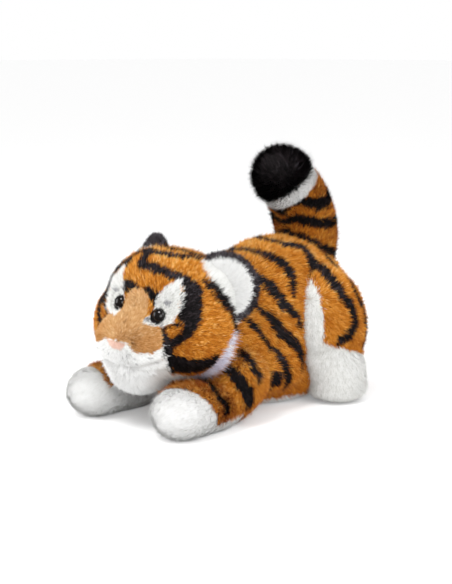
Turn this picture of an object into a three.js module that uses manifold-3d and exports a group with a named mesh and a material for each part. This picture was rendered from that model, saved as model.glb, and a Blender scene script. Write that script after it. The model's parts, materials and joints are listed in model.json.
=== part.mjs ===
// Plush tiger lying on its belly with its head up and its tail raised.
// Fabric panels, each one fabricThickness thick, are sewn round stuffed cores.
// Millimetres, +Z up. The tiger looks along -Y, and its left side is +X.
import * as THREE from 'three';
import { mergeVertices } from 'three/addons/utils/BufferGeometryUtils.js';
import Module from 'manifold-3d';

const wasm = await Module();
wasm.setup();

// Fabric, seams and clearances
const fabricThickness = 3;
const seamGap = 0.3;
const restGap = 0.3;
const swingClearance = 0.9;
const headClearance = 2.4;
const floorSink = 0.5;
const cutterSize = 600;
const mergeTolerance = 0.0001;

// How finely each form is faceted: what shows is finer than the hollows and fillings behind it
const skinDetail = 4;
const coreDetail = 2;
const headCutDetail = 3;
const skinFacets = { sides: 12, rings: 8 };
const coreFacets = { sides: 8, rings: 6 };

// Colours of the plush, and of the moulded plastic
const orangePlush = '#c97a26';
const whitePlush = '#eeeeec';
const blackPlush = '#2d1e1c';
const tanPlush = '#dea670';
const pinkPlush = '#eeb4a0';
const fillingWhite = '#f4f2ec';
const eyeBlack = '#0b0a0a';
const washerWhite = '#e4e4e0';
const plushRoughness = 0.95;
const eyeRoughness = 0.08;
const washerRoughness = 0.45;

// Torso: three lobes swell from one heart and blend into each other; the belly rests on the floor
const onFloor = (place) => ({ ...place, z: place.halfHeight - floorSink });
const torsoHeart = { x: 0, y: 40, z: 56 };
const torsoBlend = 4;
const back = { x: 0, y: 74, z: 74, halfWidth: 60, halfLength: 82, halfHeight: 70, power: 2 };
const chest = { x: 0, y: 0, z: 60, halfWidth: 49, halfLength: 47, halfHeight: 51, power: 2 };
const belly = { x: 0, y: 62, halfWidth: 58.5, halfLength: 68, halfHeight: 36, power: 2.4 };
const torso = { heart: torsoHeart, blend: torsoBlend, lobes: [back, chest, onFloor(belly)] };
const bellySeam = { x: 0, y: 0, z: 22, normalX: 0, normalY: 0.11, normalZ: -1 };

// Head: it is tilted and turned a little, and everything on it is laid out in its own frame
const headFrame = { x: 0, y: -58, z: 96, roll: 5, yaw: 6 };
const headHeart = { x: 0, y: -8, z: -20 };
const headBlend = 3.5;
const skull = { x: 0, y: 6, z: 0, halfWidth: 58, halfLength: 44, halfHeight: 48.5, power: 2.4 };
const cheeks = { x: 0, y: -4, z: -17, halfWidth: 63.5, halfLength: 38, halfHeight: 36, power: 2.6 };
const muzzle = { x: 0, y: -28, z: -24, halfWidth: 38, halfLength: 34, halfHeight: 27, power: 2.3 };
const chin = { x: 0, y: -26, z: -38, halfWidth: 25, halfLength: 29, halfHeight: 29, power: 2.2 };
const head = { heart: headHeart, blend: headBlend, lobes: [skull, cheeks, muzzle, chin] };

// Face panels: outlines in the head's front view, as shares of the skull's half width and half height
const faceBack = -8;
const noseOutlineShares = [[-0.17, -0.35], [0.17, -0.35], [0.14, -0.5], [0, -0.55], [-0.14, -0.5]];
const bridgeOutlineShares = [
  [0, 0.5], [0.14, 0.4], [0.2, 0.12], [0.34, -0.08], [0.58, -0.17], [0.65, -0.38], [0.5, -0.49],
  [0.24, -0.36], [-0.24, -0.36], [-0.5, -0.49], [-0.65, -0.38], [-0.58, -0.17], [-0.34, -0.08],
  [-0.2, 0.12], [-0.14, 0.4],
];
const lipOutlineShares = [
  [-0.24, -0.3], [0.24, -0.3], [0.5, -0.4], [0.66, -0.46], [0.62, -0.7], [0.36, -0.78], [0, -0.82],
  [-0.36, -0.78], [-0.62, -0.7], [-0.66, -0.46], [-0.5, -0.4],
];
const chinOutlineShares = [[-0.5, -0.6], [0.5, -0.6], [0.5, -1.5], [-0.5, -1.5]];
const browOutlineShares = [
  [0.28, -0.04], [0.27, 0.3], [0.48, 0.72], [0.6, 0.66], [0.76, 0.25], [0.62, -0.06], [0.44, -0.1],
];
const throatTop = -40;

// Safety eye: a domed head on a ribbed shank, held by a star washer behind the fabric
const eye = {
  x: 24, z: 5, domeRadius: 5.6, domeHeight: 4.4, flange: 0.9, sink: 1, shankRadius: 1.9, ribRadius: 2.4,
  ribPitch: 2, ribs: 4, tipLength: 1.2,
};
const washer = { radius: 8, thickness: 1.4, clamp: 1.9, toothRadius: 2.75, slotRadius: 4.6, teeth: 8 };
const roundSteps = 12;
const domeSteps = 4;
const probeAngle = 0.03;

// Ears: flat caps on the head, hinged along their seam; a black back holds a white lining
const ear = {
  seamTop: { x: 29, y: 15, z: 45 },
  seamLow: { x: 57, y: 24, z: 2 },
  lean: { x: 0.68, y: 0.52, z: 0.52 },
  reach: 27, thickness: 5.5, liningShare: 0.8, liningDepth: 3, detail: 2,
};

// Limbs: each follows its stations from the root inside the torso to its tip
const frontLegRoot = { x: 27, y: 22, z: 42, halfWidth: 24, halfHeight: 27 };
const shoulder = { x: 45, y: -10, z: 33, halfWidth: 25, halfHeight: 29 };
const forearm = { x: 51, y: -46, halfWidth: 19.5, halfHeight: 20.5 };
const paw = { x: 53, y: -78, halfWidth: 25, halfHeight: 22, length: 54, reach: 41 };
const frontLeg = {
  stations: [
    frontLegRoot,
    shoulder,
    onFloor(forearm),
    onFloor(paw),
    onFloor({ ...paw, y: paw.y - paw.reach }),
  ],
  rootCap: 26, tipCap: paw.length / 2,
};
const pawSeam = { x: 50, y: -68, z: 25, normalX: 0.2, normalY: -0.7, normalZ: -0.68 };
const hip = { x: 44, y: 87, z: 120, halfWidth: 20, halfHeight: 27 };
const flank = { x: 47, y: 89, z: 96, halfWidth: 24, halfHeight: 33 };
const thigh = { x: 50, y: 93, z: 69, halfWidth: 26.5, halfHeight: 38.5 };
const hock = { x: 53, y: 94, z: 44, halfWidth: 25, halfHeight: 33 };
const foot = { x: 58, y: 95, z: 20, halfWidth: 27, halfHeight: 29 };
const hindLeg = {
  stations: [hip, flank, thigh, hock, foot, { ...foot, z: -floorSink }],
  rootCap: 34, tipCap: 13,
};
const footSeam = { x: 52, y: 98, z: 46, normalX: 0, normalY: -0.35, normalZ: -0.94 };
const stripSeam = { x: 49, y: 75, z: 68, normalX: -0.25, normalY: -0.97, normalZ: 0 };
const roundStation = (station) => ({ ...station, halfWidth: station.radius, halfHeight: station.radius });
const tailRoot = { x: 0, y: 108, z: 104, radius: 26 };
const tailBase = { x: 0, y: 116, z: 128, radius: 27 };
const tailMiddle = { x: 0, y: 117, z: 148, radius: 27.5 };
const tailBend = { x: 0, y: 111, z: 166, radius: 27 };
const tailCurl = { x: 0, y: 100, z: 183, radius: 26 };
const tailTip = { x: 0, y: 65, z: 215, radius: 23.5 };
const tail = {
  stations: [tailRoot, tailBase, tailMiddle, tailBend, tailCurl, tailTip].map(roundStation),
  rootCap: 4, tipCap: tailTip.radius,
};
const bandSeam = { x: 0, y: 97, z: 184, normalX: 0, normalY: -0.68, normalZ: 0.73 };
const bandWidth = 11;

// Neck: a ball of filling on which the head turns and lifts, with room around it in both
const neck = { x: 0, y: -12, z: 80, radius: 24, room: 0.8, detail: 3 };

// Joints: how far each limb gives before its seam pulls tight, in degrees
const headTurn = 8;
const headLift = 10;
const frontLegIn = 3;
const frontLegOut = 12;
const hindLegSwing = 8;
const tailSway = 12;
const earFold = 12;
const frontLegPivot = { x: 49, y: -6, z: 34 };
const hindLegPivot = { x: 52, y: 92, z: 60 };
const tailPivot = { x: tailBase.x, y: tailBase.y, z: tailBase.z };

const vector = (place) => new THREE.Vector3(place.x, place.y, place.z);
const mirrored = (place, side) => ({ ...place, x: place.x * side });

// Turns a closed three.js geometry into a solid that can be joined and cut
function toSolid(geometry, matrix = new THREE.Matrix4()) {
  const bare = geometry.clone().applyMatrix4(matrix);
  bare.deleteAttribute('normal');
  bare.deleteAttribute('uv');
  const merged = mergeVertices(bare, mergeTolerance);
  const mesh = new wasm.Mesh({
    numProp: 3,
    vertProperties: new Float32Array(merged.attributes.position.array),
    triVerts: new Uint32Array(merged.index.array),
  });
  return new wasm.Manifold(mesh);
}

function toGeometry(solid) {
  const mesh = solid.getMesh();
  const geometry = new THREE.BufferGeometry();
  geometry.setAttribute('position', new THREE.BufferAttribute(new Float32Array(mesh.vertProperties), 3));
  geometry.setIndex(new THREE.BufferAttribute(new Uint32Array(mesh.triVerts), 1));
  return geometry;
}

// How far a ray from the heart runs before it leaves one lobe
function reachOf(direction, heart, lobe, inset) {
  let near = 0;
  let far = cutterSize;
  while (far - near > mergeTolerance) {
    const middle = (near + far) / 2;
    const across = Math.abs(heart.x + direction.x * middle - lobe.x) / (lobe.halfWidth - inset);
    const along = Math.abs(heart.y + direction.y * middle - lobe.y) / (lobe.halfLength - inset);
    const upward = Math.abs(heart.z + direction.z * middle - lobe.z) / (lobe.halfHeight - inset);
    const inside = across ** lobe.power + along ** lobe.power + upward ** lobe.power < 1;
    near = inside ? middle : near;
    far = inside ? far : middle;
  }
  return near;
}

// A point of a lobed form: the lobes' reaches run into each other over the blend length
function lobedPoint(form, direction, inset) {
  let sum = 0;
  for (const lobe of form.lobes) {
    sum += Math.exp(reachOf(direction, form.heart, lobe, inset) / form.blend);
  }
  return vector(form.heart).addScaledVector(direction, form.blend * Math.log(sum));
}

function lobedGeometry(form, inset, detail = skinDetail) {
  const geometry = new THREE.IcosahedronGeometry(1, detail);
  const position = geometry.attributes.position;
  for (let index = 0; index < position.count; index += 1) {
    const direction = new THREE.Vector3().fromBufferAttribute(position, index).normalize();
    const point = lobedPoint(form, direction, inset);
    position.setXYZ(index, point.x, point.y, point.z);
  }
  return geometry;
}

// Rounds the end of a limb: 0 at the very end, 1 once the cap length is passed
function capShare(distance, capLength) {
  const left = 1 - Math.min(Math.max(distance / capLength, 0), 1);
  return Math.sqrt(1 - left * left);
}

// A limb: rings stand across a curve through the stations, and both ends are round
function limbGeometry(limb, side, inset, facets = skinFacets) {
  const stations = limb.stations.map((station) => mirrored(station, side));
  const spine = new THREE.CatmullRomCurve3(stations.map(vector), false, 'catmullrom');
  const girth = new THREE.CatmullRomCurve3(
    stations.map((station) => new THREE.Vector3(station.halfWidth, station.halfHeight, 0)),
    false,
    'catmullrom',
  );
  const length = spine.getLength();
  const vertices = [];
  const triangles = [];
  const ringShare = (ring) => (1 - Math.cos((Math.PI * ring) / facets.rings)) / 2;
  for (let ring = 0; ring <= facets.rings; ring += 1) {
    const distance = inset + ringShare(ring) * (length - inset * 2);
    const onSpine = Math.min(Math.max(distance, 0), length);
    const share = spine.getUtoTmapping(onSpine / length);
    const tangent = spine.getTangent(share);
    const centre = spine.getPoint(share).addScaledVector(tangent, distance - onSpine);
    if (ring === 0 || ring === facets.rings) {
      vertices.push(centre);
      continue;
    }
    const across = new THREE.Vector3(1, 0, 0).addScaledVector(tangent, -tangent.x).normalize();
    const upward = new THREE.Vector3().crossVectors(tangent, across);
    const size = girth.getPoint(share);
    const cap = capShare(distance - inset, limb.rootCap - inset)
      * capShare(length - inset - distance, limb.tipCap - inset);
    for (let step = 0; step < facets.sides; step += 1) {
      const angle = (Math.PI * 2 * step) / facets.sides;
      vertices.push(centre.clone()
        .addScaledVector(across, (size.x - inset) * cap * Math.cos(angle))
        .addScaledVector(upward, (size.y - inset) * cap * Math.sin(angle)));
    }
  }
  const corner = (ring, step) => 1 + (ring - 1) * facets.sides + (step % facets.sides);
  const last = vertices.length - 1;
  for (let step = 0; step < facets.sides; step += 1) {
    triangles.push(0, corner(1, step + 1), corner(1, step));
    triangles.push(last, corner(facets.rings - 1, step), corner(facets.rings - 1, step + 1));
    for (let ring = 1; ring < facets.rings - 1; ring += 1) {
      triangles.push(corner(ring, step), corner(ring, step + 1), corner(ring + 1, step + 1));
      triangles.push(corner(ring, step), corner(ring + 1, step + 1), corner(ring + 1, step));
    }
  }
  const geometry = new THREE.BufferGeometry().setFromPoints(vertices);
  geometry.setIndex(triangles);
  return geometry;
}

// Everything on the far side of a seam plane, moved out along its normal by the offset
function beyondSeam(seam, side, offset) {
  const normal = new THREE.Vector3(seam.normalX * side, seam.normalY, seam.normalZ).normalize();
  const turn = new THREE.Quaternion().setFromUnitVectors(new THREE.Vector3(0, 0, 1), normal);
  const centre = vector(mirrored(seam, side)).addScaledVector(normal, offset + cutterSize / 2);
  const place = new THREE.Matrix4().compose(centre, turn, new THREE.Vector3(1, 1, 1));
  return toSolid(new THREE.BoxGeometry(cutterSize, cutterSize, cutterSize), place);
}

// Everything under the floor
const underFloor = toSolid(
  new THREE.BoxGeometry(cutterSize, cutterSize, cutterSize),
  new THREE.Matrix4().makeTranslation(0, 0, -cutterSize / 2),
);

// A turn about an axis through a pivot
function turnAbout(pivot, axis, degrees) {
  const there = vector(pivot);
  return new THREE.Matrix4().makeTranslation(there)
    .multiply(new THREE.Matrix4().makeRotationAxis(axis, THREE.MathUtils.degToRad(degrees)))
    .multiply(new THREE.Matrix4().makeTranslation(there.negate()));
}

// The space that a form fills over a set of poses
function swept(geometry, poses) {
  return poses.map((pose) => toSolid(geometry, pose)).reduce((whole, next) => whole.add(next));
}

const upAxis = new THREE.Vector3(0, 0, 1);
const leftAxis = new THREE.Vector3(1, 0, 0);
const backAxis = new THREE.Vector3(0, 1, 0);

const headPlace = new THREE.Matrix4().compose(
  vector(headFrame),
  new THREE.Quaternion().setFromEuler(new THREE.Euler(
    0,
    THREE.MathUtils.degToRad(headFrame.roll),
    THREE.MathUtils.degToRad(headFrame.yaw),
    'ZYX',
  )),
  new THREE.Vector3(1, 1, 1),
);
const intoHead = headPlace.clone().invert();

const headPoses = [-headTurn, 0, headTurn].flatMap((turn) => [0, headLift].map((lift) => (
  turnAbout(neck, upAxis, turn).multiply(turnAbout(neck, leftAxis, -lift))
)));
const frontLegPoses = (side) => [-frontLegIn, 0, frontLegOut].map((angle) => (
  turnAbout(mirrored(frontLegPivot, side), upAxis, angle * side)
));
const hindLegPoses = (side) => [-hindLegSwing, 0, hindLegSwing].map((angle) => (
  turnAbout(mirrored(hindLegPivot, side), upAxis, angle * side)
));
const tailPoses = [-tailSway, 0, tailSway].map((angle) => turnAbout(tailPivot, backAxis, angle));

// How a still neighbour moves as seen from a limb that takes the given poses
const seenFrom = (poses, others = [new THREE.Matrix4()]) => poses.flatMap((pose) => (
  others.map((other) => pose.clone().invert().multiply(other))
));

// Slightly fat copies of the large forms cut the smaller ones free of them
const torsoCutter = lobedGeometry(torso, -swingClearance);
const headCutter = lobedGeometry(head, -headClearance, headCutDetail).applyMatrix4(headPlace);
const tailCutter = limbGeometry(tail, 1, -swingClearance);

const neckBall = (clearance) => toSolid(
  new THREE.IcosahedronGeometry(neck.radius + clearance, neck.detail),
  new THREE.Matrix4().makeTranslation(vector(neck)),
);

// Splits a body form into its hollow skin and the filling inside it
function skinAndFilling(skinForm, coreForm, cutAway) {
  const hollow = toSolid(coreForm(fabricThickness));
  return {
    skin: toSolid(skinForm).subtract(hollow).subtract(cutAway),
    filling: toSolid(coreForm(fabricThickness + restGap)).subtract(cutAway),
  };
}

const lobedParts = (form, cutAway) => (
  skinAndFilling(lobedGeometry(form, 0), (inset) => lobedGeometry(form, inset, coreDetail), cutAway)
);
const limbParts = (limb, side, cutAway) => (
  skinAndFilling(limbGeometry(limb, side, 0), (inset) => limbGeometry(limb, side, inset, coreFacets), cutAway)
);

const group = new THREE.Group();
const headGroup = new THREE.Group();
headGroup.applyMatrix4(headPlace);
group.add(headGroup);

function addPiece(parent, name, solid, colour, roughness = plushRoughness) {
  const material = new THREE.MeshStandardMaterial({ color: colour, roughness, metalness: 0 });
  const mesh = new THREE.Mesh(toGeometry(solid), material);
  mesh.name = name;
  parent.add(mesh);
}

// Torso: back skin over a belly panel, with the seam along the flanks
function addTorso() {
  const cutAway = swept(headCutter, headPoses).add(neckBall(neck.room)).add(underFloor);
  const parts = lobedParts(torso, cutAway);
  addPiece(group, 'torso_back_skin', parts.skin.subtract(beyondSeam(bellySeam, 1, -seamGap)), orangePlush);
  addPiece(group, 'torso_belly_panel', parts.skin.intersect(beyondSeam(bellySeam, 1, 0)), whitePlush);
  addPiece(group, 'torso_stuffing', parts.filling, fillingWhite);
  addPiece(group, 'neck_stuffing', neckBall(0), fillingWhite);
}

function addFrontLeg(side, sideName) {
  const cutAway = swept(torsoCutter, seenFrom(frontLegPoses(side)))
    .add(swept(headCutter, seenFrom(frontLegPoses(side), headPoses)))
    .add(underFloor);
  const parts = limbParts(frontLeg, side, cutAway);
  const sleeve = parts.skin.subtract(beyondSeam(pawSeam, side, -seamGap));
  const paw = parts.skin.intersect(beyondSeam(pawSeam, side, 0));
  addPiece(group, `front_leg_sleeve_${sideName}`, sleeve, orangePlush);
  addPiece(group, `front_paw_${sideName}`, paw, whitePlush);
  addPiece(group, `front_leg_stuffing_${sideName}`, parts.filling, fillingWhite);
}

function addHindLeg(side, sideName) {
  const cutAway = swept(torsoCutter, seenFrom(hindLegPoses(side)))
    .add(swept(tailCutter, seenFrom(hindLegPoses(side), tailPoses)))
    .add(underFloor);
  const parts = limbParts(hindLeg, side, cutAway);
  const foot = parts.skin.intersect(beyondSeam(footSeam, side, 0));
  const upper = parts.skin.subtract(beyondSeam(footSeam, side, -seamGap));
  addPiece(group, `thigh_skin_${sideName}`, upper.subtract(beyondSeam(stripSeam, side, -seamGap)), orangePlush);
  addPiece(group, `thigh_front_strip_${sideName}`, upper.intersect(beyondSeam(stripSeam, side, 0)), whitePlush);
  addPiece(group, `hind_foot_${sideName}`, foot, whitePlush);
  addPiece(group, `hind_leg_stuffing_${sideName}`, parts.filling, fillingWhite);
}

function addTail() {
  const cutAway = swept(torsoCutter, seenFrom(tailPoses));
  const parts = limbParts(tail, 1, cutAway);
  const pastBand = beyondSeam(bandSeam, 1, 0);
  const pastTip = beyondSeam(bandSeam, 1, bandWidth);
  addPiece(group, 'tail_sleeve', parts.skin.subtract(beyondSeam(bandSeam, 1, -seamGap)), orangePlush);
  const band = parts.skin.intersect(pastBand).subtract(beyondSeam(bandSeam, 1, bandWidth - seamGap));
  addPiece(group, 'tail_band', band, whitePlush);
  addPiece(group, 'tail_tip', parts.skin.intersect(pastTip), blackPlush);
  addPiece(group, 'tail_stuffing', parts.filling, fillingWhite);
}

// An outline of the face in real sizes, grown outwards by a gap
function faceOutline(shares, side, growth) {
  const points = shares.map(([across, upward]) => new THREE.Vector2(
    across * skull.halfWidth * side,
    upward * skull.halfHeight,
  ));
  const outward = THREE.ShapeUtils.isClockWise(points) ? -1 : 1;
  return points.map((point, index) => {
    const before = points[(index + points.length - 1) % points.length];
    const after = points[(index + 1) % points.length];
    const edgeIn = point.clone().sub(before).normalize();
    const edgeOut = after.clone().sub(point).normalize();
    const mitre = new THREE.Vector2(edgeIn.y + edgeOut.y, -edgeIn.x - edgeOut.x).multiplyScalar(outward);
    const half = (1 + edgeIn.dot(edgeOut)) / 2;
    return point.clone().addScaledVector(mitre, growth / (half * 2));
  });
}

// A prism through the front of the head, over one outline
function facePrism(shares, side, growth) {
  const geometry = new THREE.ExtrudeGeometry(new THREE.Shape(faceOutline(shares, side, growth)), {
    depth: cutterSize / 2,
    bevelEnabled: false,
  });
  const place = new THREE.Matrix4().makeRotationX(Math.PI / 2).setPosition(0, faceBack, 0);
  return toSolid(geometry, place);
}

// The underside of the head behind the face panels
function throatBlock(growth) {
  const front = faceBack + seamGap - growth;
  const top = throatTop + growth;
  const place = new THREE.Matrix4().makeTranslation(0, front + cutterSize / 2, top - cutterSize / 2);
  return toSolid(new THREE.BoxGeometry(cutterSize, cutterSize, cutterSize), place);
}

// Where an eye sits: the surface point of the head and the outward direction there
function eyeSeat(side) {
  let direction = new THREE.Vector3(0, -1, 0);
  for (let round = 0; round < domeSteps; round += 1) {
    const point = lobedPoint(head, direction, 0);
    direction = new THREE.Vector3(eye.x * side, point.y, eye.z).sub(vector(head.heart)).normalize();
  }
  const centre = lobedPoint(head, direction, 0);
  const beside = lobedPoint(head, direction.clone().applyAxisAngle(upAxis, probeAngle), 0);
  const above = lobedPoint(head, direction.clone().applyAxisAngle(leftAxis, probeAngle), 0);
  const normal = beside.sub(centre).cross(above.sub(centre)).normalize();
  normal.multiplyScalar(-Math.sign(normal.y));
  const turn = new THREE.Quaternion().setFromUnitVectors(upAxis, normal);
  return new THREE.Matrix4().compose(centre, turn, new THREE.Vector3(1, 1, 1));
}

// A round piece on an eye's axis, from its profile of radius and height
function onEyeAxis(profile, seat) {
  const points = profile.map(([radius, height]) => new THREE.Vector2(radius, height));
  const geometry = new THREE.LatheGeometry(points, roundSteps).rotateX(Math.PI / 2);
  return toSolid(geometry, seat);
}

const eyeBack = -eye.sink;
const shankEnd = eyeBack - eye.ribPitch * (eye.ribs + 1) - eye.tipLength;
const washerFront = eyeBack - washer.clamp;

function eyeSolid(seat) {
  const profile = [[0, shankEnd], [eye.shankRadius / 2, shankEnd], [eye.shankRadius, shankEnd + eye.tipLength]];
  for (let rib = 0; rib < eye.ribs; rib += 1) {
    const foot = shankEnd + eye.tipLength + eye.ribPitch * (rib + 1 / 2);
    profile.push([eye.shankRadius, foot], [eye.ribRadius, foot + eye.ribPitch / 2]);
    profile.push([eye.shankRadius, foot + eye.ribPitch / 2]);
  }
  profile.push([eye.shankRadius, eyeBack], [eye.domeRadius, eyeBack]);
  for (let step = 0; step < domeSteps; step += 1) {
    const angle = (Math.PI / 2) * (step / domeSteps);
    const height = eyeBack + eye.flange + eye.domeHeight * Math.sin(angle);
    profile.push([eye.domeRadius * Math.cos(angle), height]);
  }
  profile.push([0, eyeBack + eye.flange + eye.domeHeight]);
  return onEyeAxis(profile, seat);
}

// Star washer: sprung teeth point in from its ring to the shank
function washerSolid(seat) {
  const ring = new THREE.Shape().absarc(0, 0, washer.radius, 0, Math.PI * 2);
  const star = [];
  for (let corner = 0; corner < washer.teeth * 4; corner += 1) {
    const angle = (Math.PI * 2 * (corner + 1 / 2)) / (washer.teeth * 4);
    const radius = corner % 4 < 2 ? washer.toothRadius : washer.slotRadius;
    star.push(new THREE.Vector2(radius * Math.cos(angle), radius * Math.sin(angle)));
  }
  ring.holes.push(new THREE.Path(star));
  const geometry = new THREE.ExtrudeGeometry(ring, {
    depth: washer.thickness,
    bevelEnabled: false,
    curveSegments: roundSteps,
  });
  return toSolid(geometry.translate(0, 0, washerFront - washer.thickness), seat);
}

// The room that an eye and its washer take up in the fabric and the filling
function eyeRoom(seat) {
  const room = (radius, low, high) => onEyeAxis([[0, low], [radius, low], [radius, high], [0, high]], seat);
  const dome = room(eye.domeRadius + restGap, eyeBack - restGap, eye.domeRadius);
  const shank = room(eye.ribRadius + restGap, shankEnd - restGap, eyeBack);
  const behind = washerFront - washer.thickness - restGap;
  return dome.add(shank).add(room(washer.radius + restGap, behind, washerFront + restGap));
}

function addHead() {
  const seats = [1, -1].map(eyeSeat);
  const rooms = seats.map(eyeRoom).reduce((whole, next) => whole.add(next));
  const neckRoom = toSolid(toGeometry(neckBall(neck.room)), intoHead);
  const parts = lobedParts(head, neckRoom.add(rooms));
  const panels = [
    ['nose_patch', pinkPlush, (growth) => facePrism(noseOutlineShares, 1, growth)],
    ['muzzle_bridge', tanPlush, (growth) => facePrism(bridgeOutlineShares, 1, growth)],
    ['upper_lip', whitePlush, (growth) => facePrism(lipOutlineShares, 1, growth)],
    ['chin_panel', whitePlush, (growth) => facePrism(chinOutlineShares, 1, growth)],
    ['throat_panel', whitePlush, throatBlock],
    ['brow_patch_left', whitePlush, (growth) => facePrism(browOutlineShares, 1, growth)],
    ['brow_patch_right', whitePlush, (growth) => facePrism(browOutlineShares, -1, growth)],
  ];
  let left = parts.skin;
  for (const [name, colour, region] of panels) {
    addPiece(headGroup, name, left.intersect(region(0)), colour);
    left = left.subtract(region(seamGap));
  }
  addPiece(headGroup, 'head_skin', left, orangePlush);
  addPiece(headGroup, 'head_stuffing', parts.filling, fillingWhite);
  seats.forEach((seat, index) => {
    const sideName = ['left', 'right'][index];
    addPiece(headGroup, `eye_${sideName}`, eyeSolid(seat), eyeBlack, eyeRoughness);
    addPiece(headGroup, `eye_washer_${sideName}`, washerSolid(seat), washerWhite, washerRoughness);
  });
}

// Ears: one flat oval each, whose inner half the head cuts away along the seam
function addEar(side, sideName) {
  const top = vector(mirrored(ear.seamTop, side));
  const low = vector(mirrored(ear.seamLow, side));
  const middle = top.clone().add(low).multiplyScalar(1 / 2);
  const halfSeam = top.distanceTo(low) / 2;
  const along = top.clone().sub(low).normalize();
  const outward = vector(mirrored(ear.lean, side));
  outward.addScaledVector(along, -outward.dot(along)).normalize();
  const forward = outward.clone().cross(along).multiplyScalar(side);
  const oval = (share, depth, growth) => {
    const size = new THREE.Vector3(
      halfSeam * share + growth,
      ear.reach * share + growth,
      ear.thickness + growth,
    );
    const basis = new THREE.Matrix4().makeBasis(along, outward, along.clone().cross(outward));
    basis.scale(size).setPosition(middle.clone().addScaledVector(forward, depth));
    return toSolid(new THREE.IcosahedronGeometry(1, ear.detail), basis);
  };
  const poses = [-earFold, 0, earFold].map((angle) => turnAbout(middle, along, angle));
  const whole = oval(1, 0, 0).subtract(swept(lobedGeometry(head, -restGap * 2), seenFrom(poses)));
  const lining = oval(ear.liningShare, ear.liningDepth, -seamGap).intersect(whole);
  addPiece(headGroup, `ear_lining_${sideName}`, lining, whitePlush);
  addPiece(headGroup, `ear_back_${sideName}`, whole.subtract(oval(ear.liningShare, ear.liningDepth, 0)), blackPlush);
}

addTorso();
addHead();
addTail();
for (const [side, sideName] of [[1, 'left'], [-1, 'right']]) {
  addEar(side, sideName);
  addFrontLeg(side, sideName);
  addHindLeg(side, sideName);
}

// The origin is under the middle of the whole tiger, on the surface it lies on
const bounds = new THREE.Box3().setFromObject(group, true);
group.position.set(-(bounds.min.x + bounds.max.x) / 2, -(bounds.min.y + bounds.max.y) / 2, 0);

export default group;
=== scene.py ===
# Plush tiger lying on its belly: stuffed skins under a coat of short combed fur.
# Forms and markings are in millimetres in the tiger's own frame: it looks along -Y, its left side is +X,
# and the floor is at z = 0. to_row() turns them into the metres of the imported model.
import itertools
import json
import math

import bmesh
import bpy
import numpy as np
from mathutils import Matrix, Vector


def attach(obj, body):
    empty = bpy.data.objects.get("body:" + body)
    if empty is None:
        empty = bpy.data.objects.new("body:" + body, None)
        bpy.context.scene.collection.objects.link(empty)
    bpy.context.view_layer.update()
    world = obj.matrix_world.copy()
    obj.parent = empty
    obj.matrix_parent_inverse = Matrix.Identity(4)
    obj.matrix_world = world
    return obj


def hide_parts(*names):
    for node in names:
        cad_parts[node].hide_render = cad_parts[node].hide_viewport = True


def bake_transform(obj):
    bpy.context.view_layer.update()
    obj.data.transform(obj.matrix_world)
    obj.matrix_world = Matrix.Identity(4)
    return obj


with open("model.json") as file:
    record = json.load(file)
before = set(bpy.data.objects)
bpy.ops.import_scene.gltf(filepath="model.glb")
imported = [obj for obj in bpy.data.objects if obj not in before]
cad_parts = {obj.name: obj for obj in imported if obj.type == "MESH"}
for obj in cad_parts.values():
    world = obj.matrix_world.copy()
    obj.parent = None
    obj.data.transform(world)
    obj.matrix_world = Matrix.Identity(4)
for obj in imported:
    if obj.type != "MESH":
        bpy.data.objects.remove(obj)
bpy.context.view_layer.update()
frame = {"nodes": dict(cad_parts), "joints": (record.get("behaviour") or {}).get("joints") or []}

MM = 0.001
SEED = 20
IMAGE_WIDTH = 452
IMAGE_HEIGHT = 584

# The photograph's camera
CAMERA_AZIMUTH = 45
CAMERA_ELEVATION = 12
CAMERA_DISTANCE = 1200
CAMERA_TARGET = (0, 0, 60)
FOCAL_PIXELS = 1371.6
TARGET_PIXEL = (216, 340)
SENSOR_HEIGHT = 36
CLIP_START = 0.05

# The studio's brightness on the tiger, and as its eyes mirror it
STUDIO_STRENGTH = 0.82
MIRRORED_STUDIO = 0.12
FLOOR_LIT = 0.95
FLOOR_MIRRORED = 0.05
FLOOR_GLOW = 0.23
FLOOR_SIZE = 30.0
FLOOR_ROUGHNESS = 0.9
FLOOR_SPECULAR = 0.1
PURE_WHITE = (1, 1, 1, 1)

# Lamps, in metres and watts: where each stands, where it aims, its width and its power
LAMPS = {
    "key": ((0.15, -0.75, 1.35), (0, 0, 0.08), 0.6, 9),
    "fill": ((1.1, 0.1, 0.8), (0, 0, 0.08), 0.9, 4),
    "near_side": ((1.0, -0.75, 0.32), (0, 0, 0.06), 0.9, 5.5),
    "far_side": ((-0.95, -0.8, 0.35), (0, 0, 0.05), 0.9, 4.5),
}

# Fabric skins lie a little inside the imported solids, and the fur fills what is left
SKIN_INSET = 2.6
SKIN_LOWEST = 0.3
FLOOR_PRESS = 1.2
FLOOR_REACH = 14

# How finely the forms are cut
BALL_LEVEL = 6
SMALL_BALL_LEVEL = 5
LIMB_SIDES = 56
LIMB_RINGS = 72
SPINE_COUNT = 240
SPINE_STEP = 4

# Bounds of the searches
TINY = 1e-9
FAR_AWAY = 1e9
NO_LEVEL = -50.0
LONGEST_REACH = 250
HALVINGS = 18
THINNEST_HALF = 0.5
PAST_END = 3
OUTSIDE_DEPTH = -10
BATCH = 20000
FACE_GUESS = -40.0
FACE_STEPS = 6
FACE_PROBE = 1.5

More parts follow.
